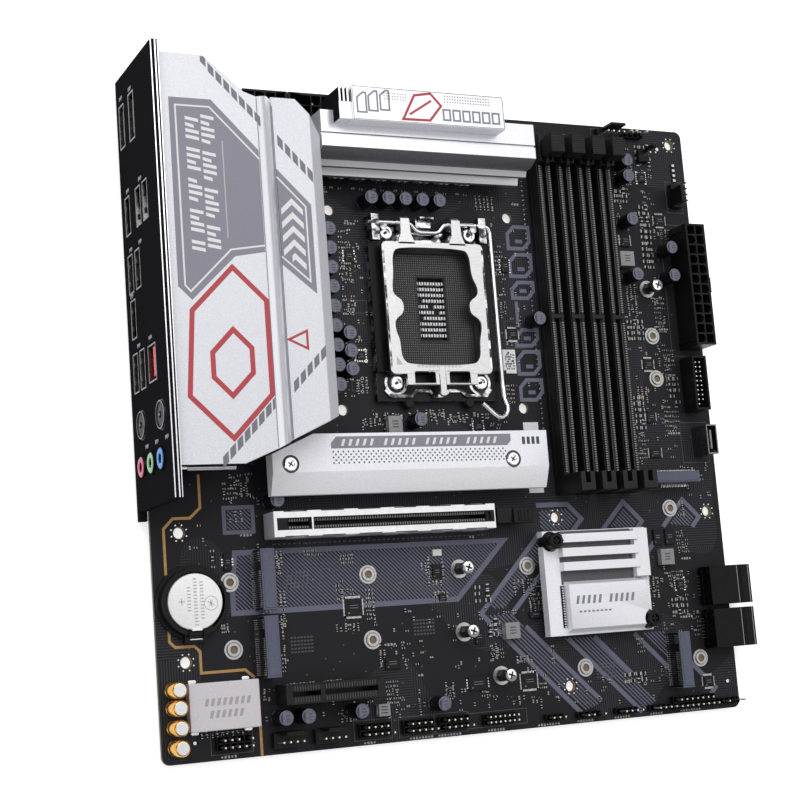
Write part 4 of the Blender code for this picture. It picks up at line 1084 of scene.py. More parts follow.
def cut_out(name, solid, hole):
    """The solid less the hole, as a mesh."""
    made = []
    for kind, making in (("solid", solid), ("hole", hole)):
        label = f"{name}_{kind}"
        made.append(added(label, making.mesh(label)))
    cut = made[0].modifiers.new("cut", "BOOLEAN")
    cut.object = made[1]
    cut.solver = "EXACT"
    graph = bpy.context.evaluated_depsgraph_get()
    mesh = bpy.data.meshes.new_from_object(made[0].evaluated_get(graph))
    for obj in made:
        bpy.data.objects.remove(obj)
    return mesh


def lever():
    """The lever's wire, swept along its route with a sleeve on the handle."""
    route = [(91.0, 0, 0), (107.0, 0, 0), (109.0, 0.5, 0), (111.2, 3.0, 0), (113.0, 3.6, 0),
             (119.4, 3.6, 0), (121.2, 3.0, 0), (123.4, 0.5, 0), (125.4, 0, 0), (141.0, 0, 0),
             (143.1, 0.7, 0), (143.8, 2.8, 0), (143.8, 62.8, 0), (143.8, 69.8, 0.6)]
    for step in range(6):
        route.append((*around((140.6, 73.4), 4.0, 29 * step - 10), 1.2 + 0.28 * step))
    route.append((132.8, 71.8, 2.8))
    points = [spot(a, HINGE_DOWN + d, HINGE_UP + u) for a, d, u in route]
    edges = [(i, i + 1) for i in range(len(points) - 1)]
    made = grown(wire_tree(), "lever_route", points, edges, Radius=1.05 * MM, Bend=1.2 * MM,
                 Sides=14, Finish=BRIGHT_STEEL)
    finished("socket_lever_finished", [BRIGHT_STEEL], made, "lever", slot="bright_steel",
             replaces=("socket_lever",), smooth=50)
    sleeve = Making()
    sleeve.rod((143.8, 111.6, 4.9), (143.8, 116.4, 5.3), 1.15, sides=18)
    piece("lever_sleeve", sleeve, [SATIN_STEEL], body="lever", slot="bright_steel", bevel=0.1)


# ---- memory and card slots ----


def memory():
    """The four memory slots with their contacts and their latches."""
    walls = Bank("memory_contact_walls", SLOT_EDGE)
    leads = Bank("memory_contact_leads", LEAD_GREY_AND_HIGHLIGHT)
    dots = Bank("memory_rail_dots", SLOT_DOT)
    ribs = [Bank(f"memory_latch_{i + 1}_ribs", LATCH_RIB_SHEEN, body=f"memory_latch_{i + 1}")
            for i in range(4)]
    for index in range(4):
        node = f"memory_slot_{index + 1}"
        (a0, a1), _, _ = reach(node)
        centre = (a0 + a1) / 2
        extra = Making()
        for side in (-1, 1):
            extra.box((centre + side * 2.2 - 0.55, centre + side * 2.2 + 0.55), (21.4, 147.6),
                      (8.35, 9.0))
            extra.box((centre + side * 3.15 - 0.2, centre + side * 3.15 + 0.2), (20.5, 148.0),
                      (0.4, 2.6))
        extra.box((centre - 3.0, centre + 3.0), (83.2, 85.0), (8.3, 9.1))
        refined(node, [SLOT_PLASTIC], 0.22, extra=extra, slot="black_plastic")
        for step in range(132):
            down = 22.2 + step * 0.95
            if abs(down - 84.1) < 1.8:
                continue
            for side in (-1, 1):
                walls.add((centre + side * 1.35, down, 8.7), (0.55, 0.4, 0.7))
                leads.add((centre + side * 1.2, down + 0.47, 8.0), (0.16, 0.4, 1.0))
                dots.add((centre + side * 2.2, down, 9.02), (0.8, 0.42, 0.1))
        latch = f"memory_latch_{index + 1}"
        refined(latch, [SLOT_PLASTIC], 0.3, body=latch, slot="black_plastic")
        for step in range(8):
            ribs[index].add((centre, 12.6 + step * 0.9, 21.45), (5.6, 0.42, 0.3))
        for step in range(4):
            ribs[index].add((centre, 11.75 - step * 0.05, 20.6 - step * 0.9), (5.6, 0.3, 0.4))


LONG_SLOT_LINE = 163.1


def card_slots():
    """The long and the short card slot, with the long one's shield and latch."""
    for node, centre in (("graphics_slot", LONG_SLOT_LINE), ("expansion_slot", 223.6)):
        long_slot = node == "graphics_slot"
        teeth = Bank(node + "_teeth", LEAD_GREY_AND_HIGHLIGHT if long_slot else SLOT_EDGE)
        (a0, a1), _, (_, top) = reach(node)
        body = Making()
        for side in (-1, 1):
            sides = sorted((centre + side * 1.0, centre + side * 3.6))
            body.box((a0, a1), sides, (0.3, top))
            lip = sorted((centre + side * 3.0, centre + side * 3.6))
            body.box((a0 + 1.2, a1 - 1.2), lip, (top - 0.2, top + 0.25))
        body.box((a0, a1), (centre - 1.2, centre + 1.2), (0.3, 3.0))
        for along in ((a0, a0 + 2.6), (56.1, 57.9), (a1 - 2.6, a1)):
            body.box(along, (centre - 1.2, centre + 1.2), (2.8, top - 0.05))
        piece(node + "_finished", body, [SLOT_PLASTIC], slot="black_plastic", bevel=0.15,
              replaces=(node,))
        for step in range(int((a1 - a0 - 6) / 1.0)):
            along = a0 + 3.4 + step
            if abs(along - 57.0) < 1.3:
                continue
            for side in (-1, 1):
                teeth.add((along, centre + side * (1.5 if long_slot else 2.1), top + 0.06),
                          (0.36, 0.8 if long_slot else 1.7, 0.14))
                teeth.add((along, centre + side * 0.95, top - 1.2), (0.4, 0.16, 2.4))
    extra = Making()
    for along, side in product((52.0, 72.0, 92.0, 112.0, 125.0), (-1, 1)):
        extra.block((along, LONG_SLOT_LINE + side * 4.74), (5.0, 0.3), (2.0, 10.6))
    for along, side in product((46.0, 70.0, 100.0, 128.0), (-1, 1)):
        extra.block((along, LONG_SLOT_LINE + side * 4.5), (2.0, 0.4), (0.0, 1.6))
    mouths = Making()
    for low, high in ((43.5, 56.4), (57.6, 131.2)):
        mouths.outline((low, high), (161.15, 165.05), 0.5, (11.7, 11.97))
    for step, side in product(range(6), (-1, 1)):
        mouths.block((50.5 + 14.6 * step, LONG_SLOT_LINE + side * 4.5), (9.0, 0.3), (11.7, 11.97))
    for along in ((43.6, 47.2), (129.9, 131.2)):
        mouths.box(along, (161.1, 165.1), (11.8, 11.96))
    piece("slot_mouth_edges", mouths, [BLACK_PLASTIC], slot="black_plastic", smooth=None)
    refined("graphics_slot_shield", [SLOT_SHIELD], 0.2, extra=extra, slot="bright_steel")
    tab = Making()
    tab.block((146.6, LONG_SLOT_LINE), (5.4, 4.4), (8.5, 8.9))
    for step in range(3):
        tab.block((144.8 + step * 1.6, LONG_SLOT_LINE), (0.5, 4.0), (8.8, 9.15))
    tab.prism([(141.2, 160.4), (143.0, 160.4), (143.0, 165.8), (141.2, 165.8)], (4.8, 9.6))
    refined("graphics_slot_latch", [BLACK_PLASTIC], 0.3, body="card_latch", extra=tab,
            slot="black_plastic")


def module_sockets():
    """The raised drive sockets with their rows of contacts."""
    opens = {"m2_socket_covered": "front", "m2_socket_rear_upper": "front",
             "m2_socket_rear_lower": "front", "m2_socket_front_lower": "rear",
             "m2_socket_front_upper": "top"}
    legs = Bank("module_socket_legs", SHELL_STEEL)
    tips = Bank("module_socket_tips", PIN_METAL)
    for node, side in opens.items():
        (a0, a1), (d0, d1), (_, top) = reach(node)
        extra = Making()
        long_way = side in ("front", "rear")
        length = (d1 - d0) if long_way else (a1 - a0)
        middle = ((a0 + a1) / 2, (d0 + d1) / 2)
        trim = (1.2, 1.6) if long_way else (1.6, 1.2)
        extra.block(middle, (a1 - a0 - trim[0], d1 - d0 - trim[1]), (top - 0.1, top + 0.25))
        if long_way:
            extra.box((a0 - 0.12, a0 + 0.2), (d0 + 0.2, d1 - 0.2), (0.4, 8.0), 1)
        refined(node, [LILAC_PLASTIC, BLACK_PLASTIC], 0.2, extra=extra, slot="lilac_plastic")
        count = int(length / 0.75) - 2
        for step, offset in enumerate(centred(count, 0.75)):
            keyed = abs(step - count * 0.24) < 2.4
            if long_way:
                if not keyed:
                    legs.add((a0 - 0.2, middle[1] + offset, 2.5), (0.3, 0.34, 4.0))
                    tips.add((a0 - 0.2, middle[1] + offset, 6.6), (0.3, 0.34, 1.9))
                BRIGHT_PINS.add((a0 - 0.6, middle[1] + offset, 0.16), (1.0, 0.3, 0.2))
                BRIGHT_PINS.add((a1 + 0.6, middle[1] + offset, 0.16), (1.1, 0.3, 0.2))
            elif not keyed:
                tips.add((middle[0] + offset, d0 - 0.1, 5.6), (0.34, 0.4, 3.4))
                BRIGHT_PINS.add((middle[0] + offset, d1 + 0.6, 0.2), (0.3, 1.2, 0.2))
                BRIGHT_PINS.add((middle[0] + offset, d0 - 0.6, 0.2), (0.3, 1.3, 0.2))


# ---- power, storage and front connectors ----


POWER_PITCH = 4.2


def power_sockets():
    """The power sockets, their pins and the keyed corners of their wells."""
    for node, columns, rows in (("main_power_socket", 2, 12), ("processor_power_socket_1", 4, 2),
                                ("processor_power_socket_2", 4, 2)):
        (a0, a1), (d0, d1), (_, top) = reach(node)
        middle = ((a0 + a1) / 2, (d0 + d1) / 2)
        extra = Making()
        if node == "main_power_socket":
            extra.box((a1 - 0.1, a1 + 1.4), (middle[1] - 3.2, middle[1] + 3.2), (5.0, 11.4))
            for low in (d0 + 2, d1 - 3):
                extra.box((a0 - 0.5, a0 + 0.1), (low, low + 1), (0.4, 10.0))
        else:
            extra.box((middle[0] - 2.2, middle[0] + 2.2), (d1 - 0.1, d1 + 1.2), (5.0, 11.4))
        for i, j in product(range(columns), range(rows)):
            a = middle[0] + (i - (columns - 1) / 2) * POWER_PITCH
            d = middle[1] + (j - (rows - 1) / 2) * POWER_PITCH
            if (i + j) % 2:
                for corner in (-1, 1):
                    extra.prism([(a + 1.8, d + corner * 1.8), (a + 1.8, d + corner * 0.7),
                                 (a + 0.7, d + corner * 1.8)], (4.0, top - 0.02))
            BRIGHT_PINS.add((a, d, 5.6), (0.8, 0.8, 6.0))
        refined(node, [BLACK_PLASTIC], 0.22, extra=extra, slot="black_plastic")


def storage_ports():
    """The two level storage sockets on the front edge."""
    for node in ("sata_port_upper", "sata_port_lower"):
        (a0, a1), (d0, d1), (_, top) = reach(node)
        extra = Making()
        extra.box((a1 - 6.0, a1 - 0.8), (d0 + 2.6, d1 - 3.0), (4.2, 5.4))
        extra.box((a1 - 6.0, a1 - 0.8), (d1 - 3.0, d1 - 1.9), (3.0, 5.4))
        # Ridges on top: the two glossy ones (finish 0) are real, the two lighter strips (finish 1)
        # are painted highlights along them.
        for along, look in ((a1 - 6.6, 1), (a1 - 5.9, 0), (a1 - 4.9, 0), (a1 - 1.2, 1)):
            extra.box((along, along + 0.35), (d0 + 0.2, d1 - 0.2), (top - 0.1, top + 0.2), look)
        extra.box((a0 - 0.6, a0 + 0.2), (d0 + 1.0, d1 - 1.0), (0.4, 3.4))
        refined(node, [GLOSS_BLACK, LEAD_GREY_AND_HIGHLIGHT], 0.25, extra=extra, slot="black_plastic")
        for step in range(7):
            CONTACTS.add((a1 - 2.6, d0 + 3.6 + step * 1.27, 4.12), (3.2, 0.6, 0.12))
            BRIGHT_PINS.add((a0 - 0.7, d0 + 3.6 + step * 1.27, 0.4), (1.4, 0.4, 0.3))


def front_headers():
    """The two sockets for a case's front ports."""
    refined("front_usb_header", [BLACK_PLASTIC], 0.2, slot="black_plastic")
    for i, j in product(range(2), range(10)):
        if (i, j) != (1, 9):
            PINS.add((235.1 + (i - 0.5) * 2.0, 102.4 + j * 1.95, 4.6), (0.5, 0.5, 6.4))
    refined("front_usb_c_header", [SHELL_STEEL], 0.2, slot="connector_shell")
    (a0, a1), (d0, _), _ = reach("front_usb_c_header")
    for step in range(10):
        CONTACTS.add(((a0 + a1) / 2 - 0.55, d0 + 2.6 + step * 0.8, 6.6), (0.1, 0.4, 3.4))


PIN_PITCH = 2.54


def pin_header(along, down, columns, rows, pitch=PIN_PITCH, missing=(), height=8.3, base=2.5):
    """Square pins standing in notched bases."""
    for i, j in product(range(columns), range(rows)):
        a = along + (i - (columns - 1) / 2) * pitch
        d = down + (j - (rows - 1) / 2) * pitch
        HEADER_CELLS.add((a, d, base / 2 + 0.05), (pitch * 0.96, pitch * 0.80, base))
        HEADER_CELLS.add((a, d, base / 2 + 0.05), (pitch * 0.80, pitch * 0.96, base))
        if (i, j) not in missing:
            PINS.add((a, d, height / 2), (0.6, 0.6, height))
            PINS.add((a, d, height + 0.1), (0.4, 0.4, 0.25))


def fan_header(making, along, down, pins=4, turn=0):
    """A fan header: pins on a base with a tall guide behind them."""
    def box(across, run, up):
        spans = [(along + across[0], along + across[1]), (down + run[0], down + run[1])]
        if not turn:
            spans = [(along + run[0], along + run[1]), (down + across[0], down + across[1])]
        making.box(*spans, up)

    half = pins * PIN_PITCH / 2
    box((-2.6, 2.6), (-half, half), (0.1, 3.0))
    box((-3.0, -1.8), (2.4 - half, half - 0.6), (0.1, 10.4))
    for offset in centred(pins, PIN_PITCH):
        place = (along + 0.6, down + offset) if turn else (along + offset, down + 0.6)
        PINS.add((*place, 5.2), (0.6, 0.6, 9.4))


def headers():
    """Pin headers along the bottom edge, and the fan headers."""
    pin_header(25.4, 238.6, 5, 2, missing=((3, 0),))
    pin_header(80.0, 239.0, 5, 2, missing=((4, 0),))
    pin_header(97.6, 239.2, 5, 2, missing=((4, 0),))
    pin_header(112.4, 239.2, 5, 2, missing=((4, 0),))
    pin_header(132.0, 239.4, 7, 2, 2.0, height=6.0, base=2.0)
    pin_header(155.6, 241.0, 3, 1, height=6.5)
    pin_header(171.2, 241.2, 4, 1, missing=((2, 0),))
    pin_header(188.4, 241.2, 4, 1)
    pin_header(204.2, 241.2, 4, 1)
    pin_header(220.4, 240.2, 8, 2, missing=((7, 0),), height=7.0)
    pin_header(237.4, 241.2, 4, 1, missing=((1, 0),))
    pin_header(218.0, 3.6, 4, 1, missing=((2, 0),))
    guides = Making()
    fan_header(guides, 205.4, 4.4)
    fan_header(guides, 237.2, 29.4, turn=1)
    fan_header(guides, 45.2, 239.4)
    fan_header(guides, 61.2, 239.4)
    fan_header(guides, 222.4, 12.6, 2)
    piece("fan_headers", guides, [BLACK_PLASTIC], slot="black_plastic", bevel=0.25)
    frames = Making()
    for along, down in (((119.6, 144.6), (236.6, 242.2)), ((17.6, 33.2), (234.8, 242.4)),
                        ((72.4, 87.6), (235.4, 242.6)), ((90.4, 105.0), (235.6, 242.8)),
                        ((105.4, 119.0), (235.6, 242.8))):
        frames.outline(along, down, 0.25, (0.0, 0.03))
    printed("header_outlines", frames, [PRINT_FAINT])


# ---- covers and heatsinks ----


def rounded_fold():
    """The rolled edge where the cover drops towards the heatsink beside it."""
    fold = Making()
    rows = []
    for step in range(15):
        share = step / 14
        along = 34.2 + 9.3 * share
        bulge = math.sin(math.pi * share)
        up = 41.95 - 10.4 * share + 2.6 * bulge + 0.8 * bulge ** 3
        first = 14.2 - 2.0 * share
        last = 139.8 - 4.2 * share
        corners = [(first, up), (last, up), (last, up - 2.6), (first, up - 2.6)]
        rows.append([fold.bm.verts.new(spot(along, *corner)) for corner in corners])
    for (before, after), i in product(zip(rows, rows[1:]), range(4)):
        j = (i + 1) % 4
        fold.bm.faces.new((before[i], before[j], after[j], after[i]))
    fold.bm.faces.new(rows[0])
    fold.bm.faces.new(rows[-1])
    piece("cover_rolled_edge", fold, [ROLLED_COAT], slot="white_coat", smooth=60)


INK = 0.03


def layers(level):
    """Heights of a printed area, and of a line printed over it."""
    return (level, level + INK), (level + INK, level + 2 * INK)


def dashes(making, start, pitch, size, slope, count, up, look=0):
    """A row of upright slanted dashes."""
    for i in range(count):
        corner = (start[0] + pitch[0] * i, start[1] + pitch[1] * i)
        making.slant(corner, size, slope * size[0], 0.0, up, look)


def bars(making, along, down, up, look, pitch=2.4, thick=1.0, slope=0.0, groups=5):
    """Slanted bars in groups, filling a strip."""
    count = int((down[1] - down[0]) / pitch)
    for i in range(count):
        if i % groups == groups - 1:
            continue
        width = (along[1] - along[0]) * (0.65 if i % 3 == 1 else 1.0)
        making.slant((along[0], down[0] + i * pitch), (width, thick), slope, 0.0, up, look)


def covers():
    """The rear cover and the two heatsinks by the processor, with their printed patterns."""
    # Painted shade: the rear cover's walls that face the bottom edge, past down 130 and below its
    # top, take the black finish.
    refined("io_cover", [WHITE_COAT, BLACK_SHEET_AND_SHADE], 0.45, slot="white_coat", segments=3,
            tone=lambda normal, middle: int(normal.y < -0.5 and middle[1] > 130 and middle[2] < 41))
    rounded_fold()
    rod = Making()
    profile = []
    for step in range(52):
        along = 2.4 + step * 0.33
        profile += [(0.95, along), (0.95, along + 0.17), (0.75, along + 0.22), (0.75, along + 0.3)]
    rod.turning((145.3, 38.6), profile, axis="along", sides=14)
    rod.box((-1.0, 2.4), (144.9, 145.7), (38.0, 39.0))
    piece("cover_knurled_rod", rod, [SATIN_STEEL], slot="bright_steel")
    ink = Making()
    flat, line = layers(42.0)
    ink.prism([(2.04, 16.61), (17.31, 16.61), (33.96, 34.0), (33.96, 70.73), (22.86, 72.58),
               (6.48, 88.31), (1.76, 83.69)], flat, 0)
    ink.stroke([(33.96, 37.15), (16.57, 19.38), (4.26, 19.38), (4.26, 83.22), (6.2, 85.35),
                (21.47, 70.27), (33.96, 68.42)], 0.62, line, 1)
    ink.stroke([(20.64, 31.4), (20.64, 66.1)], 0.4, line, 3)
    bars(ink, (7.5, 12.3), (23.2, 71.7), line, 1, 2.2, 1.2, 0.8)
    bars(ink, (13.2, 18.0), (22.2, 71.7), line, 1, 2.2, 1.2, 0.8, 6)
    dashes(ink, (16.96, 2.96), (2.72, 2.77), (2.08, 3.4), 1.05, 7, flat, 2)
    ink.prism([(14.3, 1.0), (15.6, 1.0), (16.3, 1.9), (16.3, 4.9), (14.3, 3.0)], flat, 2)
    ink.stroke([(34.25, 14.6), (34.25, 139.4)], 0.28, (42.0, 42.05), 2)
    dashes(ink, (30.45, 125.6), (-2.74, 2.78), (2.1, 3.8), -1.0, 7, flat, 2)
    ink.prism([(33.1, 122.9), (34.0, 122.0), (34.0, 125.8), (33.1, 126.7)], flat, 2)
    for ring, width in (([(6.2, 92.0), (21.5, 76.5), (33.2, 88.0), (33.2, 121.0), (18.5, 136.0),
                          (3.8, 121.5)], 1.8),
                        ([(12.6, 106.5), (20.4, 98.4), (26.8, 104.8), (26.8, 113.4), (19.0, 121.4),
                          (12.6, 115.0)], 1.8)):
        ink.stroke(ring, width, flat, 4, closed=True)
    printed("cover_print", ink, [PRINT_PANEL, PRINT_WHITE, PRINT_DARK, PRINT_LINE,
           PRINT_RED], slot="white_coat")

    refined("vrm_heatsink_left", [WHITE_COAT], 0.3, slot="white_coat", segments=2)
    ink = Making()
    flat, line = layers(32.0)
    ink.stroke([(43.85, 13.6), (43.85, 135.0)], 0.3, flat, 2)
    dashes(ink, (45.2, 24.2), (2.73, 2.83), (2.0, 3.9), 1.1, 5, flat, 2)
    dashes(ink, (45.3, 114.9), (2.78, -2.83), (2.0, 3.9), -1.05, 5, flat, 2)
    ink.prism([(43.9, 36.9), (56.6, 49.85), (56.6, 82.86), (43.9, 72.3)], flat, 0)
    ink.stroke([(43.95, 40.05), (54.4, 50.7), (54.4, 78.3), (43.95, 69.4)], 0.62, line, 1)
    for step in range(5):
        top = 47.8 + 5.05 * step
        arm = 4.2 if step < 4 else 1.1
        ink.prism([(49.1, top), (53.2, top + 4.0), (53.2, top + 6.3), (49.1, top + 2.4),
                   (49.1 - arm, top + 2.4 + arm * 0.93), (49.1 - arm, top + arm * 0.95)],
                  (32.03, 32.05), 1)
    ink.stroke([(44.6, 99.6), (51.6, 96.4), (51.6, 102.8)], 0.9, flat, 4, closed=True)
    printed("left_heatsink_print", ink, [PRINT_PANEL, PRINT_WHITE, PRINT_DARK, PRINT_WHITE,
                                       PRINT_RED], slot="white_coat")

    refined("vrm_heatsink_top", [ROLLED_COAT, WHITE_SHADE, BLACK_SHEET_AND_SHADE], 0.25, slot="white_coat",
            segments=2, tone=top_heatsink_tone)
    ink = Making()
    flat, _ = layers(34.0)
    for side, low in ((77.0, 6.4), (81.6, 5.6), (86.4, 5.0)):
        ink.stroke([(side, low + 7.6), (side, low + 2.0), (side + 2.4, low), (side + 3.6, low),
                    (side + 3.6, low + 7.6)], 0.75, flat, 0, closed=True)
    for i, j in product(range(9), range(3)):
        ink.block((92.6 + 1.1 * (i - 4), 6.0 + j * 1.1), (0.5, 0.5), flat, 0)
    for i, j in product(range(18), range(3)):
        ink.block((113.4 + i * 1.1, 5.4 + j * 1.1), (0.5, 0.5), flat, 0)
    ink.stroke([(95.4, 15.6), (100.6, 6.0), (107.4, 4.8), (111.6, 9.4), (106.6, 15.4)], 1.0, flat,
               1, closed=True)
    ink.stroke([(98.2, 13.6), (107.6, 7.6)], 0.9, flat, 1)
    for i in range(6):
        ink.outline((112.4 + i * 4.2, 115.2 + i * 4.2), (10.8, 14.8), 0.75, flat, 0)
    ink.outline((75.35, 138.25), (4.15, 16.65), 0.28, flat, 0)
    printed("top_heatsink_print", ink, [PRINT_PANEL, PRINT_RED], slot="white_coat")


def top_heatsink_tone(normal, middle):
    """Painted shade: grey on the walls that face the socket, and black on the walls between the
    fins at the left end.
    """
    if normal.z < 0.6 and middle[0] < 74.5 and middle[1] < 12.9 and middle[2] > 20:
        return 2
    return int(normal.y < -0.5 and 14 < middle[1] and middle[2] < 27)


def drive_cover():
    """The white cover over the drive, in the brighter painted-light coat, with its print and its
    two screws.
    """
    refined("m2_heatsink", [WHITE_COAT_PAINTED_LIGHT], 0.3, body="m2_cover", slot="white_cover", segments=2)
    ink = Making()
    flat, line = layers(15.5)
    ink.prism([(66.9, 132.2), (139.4, 132.2), (139.4, 134.8), (137.7, 136.6), (64.7, 136.6),
               (64.7, 134.6)], flat, 0)
    for i in range(24):
        if i % 6 == 5:
            continue
        ink.slant((68.6 + i * 2.86, 133.2), (1.1, 2.5), 0.0, 0.9, line, 1)
    for row in range(5):
        offset = 1.0 * (row % 2)
        for i in range(36):
            ink.prism(circle((65.4 + offset + 2.01 * i, 137.8 + 1.03 * row), 0.36, 8), flat, 2)
    for i in range(4):
        ink.block((145.0 + 2.1 * i, 134.9), (1.3, 2.9), flat, 2)
    printed("drive_cover_print", ink, [PRINT_PANEL, PRINT_WHITE, DRILLED], body="m2_cover",
          slot="white_cover")
    for side in ("left", "right"):
        node = f"m2_heatsink_screw_{side}"
        (a0, a1), (d0, d1), (low, _) = reach(node)
        a, d = (a0 + a1) / 2, (d0 + d1) / 2
        head = Making()
        head.turning((a, d), [(2.3, 14.75), (2.7, 14.9), (2.7, 15.4), (2.3, 15.78), (1.5, 15.8),
                              (1.4, 15.4)], sides=28)
        head.post((a, d), (low + 0.05, 15.0), 1.25, sides=18)
        for turn in (35, 125):
            head.block((a, d), (2.2, 0.5), (15.38, 15.46), 1, turn)
        head.ring((a, d), 2.75, 3.3, (15.45, 15.52), 1)
        piece(node + "_finished", head, [BRIGHT_STEEL, CAN_MARK], body="m2_cover",
              slot="bright_steel", replaces=(node,))


def chipset():
    """The chipset's heatsink, its print and its two push pins."""
    # Painted shade: the heatsink's walls that face the bottom edge, short of down 190.5, take the
    # dark rib grey; the coat itself is the brighter painted-light white.
    refined("chipset_heatsink", [WHITE_COAT_PAINTED_LIGHT, RIB_SHADE], 0.3, slot="white_coat", segments=2,
            tone=lambda normal, middle: int(normal.y < -0.5 and middle[1] < 190.5))
    refined("chipset_package", [CHIP_BLACK], 0.1, slot="black_plastic")
    # Painted shade: flat dark strips laid on the floors between the ribs.
    gaps = Making()
    for down in ((170.0, 171.1), (174.7, 176.6), (180.2, 182.1), (185.7, 190.8)):
        gaps.box((161.0, 194.4), down, (7.15, 7.3))
    beads = Making()
    beads.box((160.2, 161.8), (191.2, 207.4), (7.15, 7.4))
    for step in range(16):
        beads.rod((161.0, 192.0 + step, 7.3), (161.0, 192.0 + step, 8.0), 0.34, 1, 10)
    piece("chipset_rib_gap_shade", gaps, [RIB_SHADE], slot="white_coat", bevel=0.03)
    piece("chipset_beaded_slot", beads, [BLACK_SHEET_AND_SHADE, WHITE_COAT], slot="white_coat")
    ink = Making()
    top, _ = layers(11.2)
    for i in (0, 1, 2, 3, 4, 6, 7, 8, 9, 10):
        ink.slant((164.4 + i * 2.5, 195.4), (1.2, 3.2), 0.0, 0.8, top)
    for i in range(8):
        ink.block((166.2 + i * 1.9, 201.6), (1.2, 0.7), top, 0)
    printed("chipset_print", ink, [PRINT_PANEL], slot="white_coat")
    for index, (a, d) in enumerate(((157.6, 173.8), (199.2, 206.2))):
        pin = Making()
        pin.turning((a, d), [(2.7, 7.9), (3.0, 8.2), (3.0, 12.2), (2.6, 12.6), (1.7, 12.6),
                             (1.6, 11.4)], sides=24)
        for step in range(10):
            turn = 36 * step
            pin.block(around((a, d), 3.0, turn), (0.5, 0.6), (8.4, 12.2), 0, -turn)
        pin.post((a, d), (-3.0, 8.0), 1.4, sides=16)
        for level in (-3.2, -2.7):
            pin.post((a, d), (level, level + 0.4), 1.7, sides=16, end_radius=1.3)
        for turn in (0, 90):
            pin.block((a, d), (2.6, 0.7), (11.2, 12.2), 0, turn)
        node = f"chipset_push_pin_{index + 1}"
        piece(node + "_finished", pin, [BLACK_PLASTIC], slot="black_plastic", bevel=0.1,
              replaces=(node,))


# ---- rear connectors ----

REAR_FACE = -4.2


def rear_panel():
    """The shield on the rear edge, and what shows of the connectors in it."""
    lips = Making()
    for low, high in ((-4.2, -3.85), (-2.75, -2.3), (-1.7, -1.4)):
        lips.box((low, high), (-2.6, 155.6), (44.1, 44.62), 1)
    refined("io_shield", [BLACK_SHEET_AND_SHADE, SATIN_STEEL], 0.2, extra=lips, slot="black_sheet", segments=2)
    marks = Making()
    for down, up in ((5.6, 17.1), (5.2, 5.4), (40.8, 24.0), (40.8, 8.0), (62.6, 20.4), (62.6, 8.4),
                     (79.2, 6.6), (98.2, 12.0), (98.2, 26.4), (134.6, 15.6), (134.6, 27.4),
                     (134.6, 39.4)):
        for step in range(4):
            low = up - 1.9 + step * 0.95
            marks.box((REAR_FACE - 0.05, REAR_FACE), (down - 0.7, down + 0.7 - 0.4 * (step % 2)),
                      (low, low + 0.55))
    printed("shield_marks", marks, [PRINT_PALE], slot="black_sheet")

    for node in ("display_ports", "usb_ports_upper", "usb_ports_middle", "usb_port_lower",
                 "network_port"):
        refined(node, [SHELL_STEEL], 0.15, slot="connector_shell")
    inside = Making()
    shells = [(49.6, 6.0), (49.6, 19.6), (49.6, 28.2), (71.1, 6.0), (71.1, 15.0), (87.7, 6.6),
              (107.1, 6.0), (107.1, 14.6)]
    for down, up in shells:
        inside.box((-3.4, 4.0), (down - 5.4, down + 5.4), (up + 0.3, up + 1.5), 0)
        for step in range(4):
            CONTACTS.add((-0.4, down - 3.6 + step * 2.4, up + 0.22), (5.4, 1.0, 0.12))
        for side, rise in product((-1, 1), (2.0, -2.3)):
            inside.box((-3.9, 0.0), (down + side * 3.2 - 0.9, down + side * 3.2 + 0.9),
                       (up + rise, up + rise + 0.3), 2)
    for down, up, width in ((15.7, 4.6, 11.4), (15.7, 17.1, 12.4)):
        inside.box((-3.4, 4.0), (down - width / 2, down + width / 2), (up - 0.6, up + 0.6), 0)
        for step in range(9):
            CONTACTS.add((-0.8, down - width / 2 + 1.1 + step * (width - 2.2) / 8, up - 0.66),
                         (4.6, 0.5, 0.1))
    inside.box((-4.0, 2.0), (102.0, 112.2), (28.0, 30.3), 1)
    for step in range(8):
        CONTACTS.add((1.6, 103.0 + step * 1.17, 24.2), (6.0, 0.4, 0.2))
    piece("port_tongues", inside, [BLACK_PLASTIC, RED, SHELL_STEEL], slot="black_plastic",
          bevel=0.08)

    rings = Making()
    for index, up in enumerate((9.7, 21.5, 33.3)):
        rings.turning((141.1, up), [(1.8, -3.0), (3.5, -3.0), (3.5, -5.2), (3.2, -5.45),
                                    (2.1, -5.45), (1.8, -5.2)], index, axis="along", sides=28,
                      closed=True)
    refined("audio_jacks", [BLACK_PLASTIC], 0.15, slot="jack_plastic")
    piece("jack_rings", rings, [PINK, GREEN, BLUE], slot="jack_plastic")

    barrels = Making()
    for up in (10.2, 33.9):
        barrels.turning((126.3, up), [(4.5, -3.6), (4.9, -3.6), (4.9, -4.7), (4.5, -4.75)], 0,
                        axis="along", sides=36, closed=True)
        barrels.turning((126.3, up), [(1.3, -3.6), (4.3, -3.9), (4.3, -4.3), (1.3, -4.6)], 1,
                        axis="along", sides=32, closed=True)
        barrels.turning((126.3, up), [(0.5, -4.0), (0.5, -4.9), (0.3, -5.0)], 0, axis="along",
                        sides=12)
    refined("antenna_connectors", [BLACK_PLASTIC], 0.15, slot="black_plastic")
    piece("antenna_barrels", barrels, [SHELL_STEEL, GREY_PLASTIC], slot="black_plastic")


# ---- battery and audio corner ----


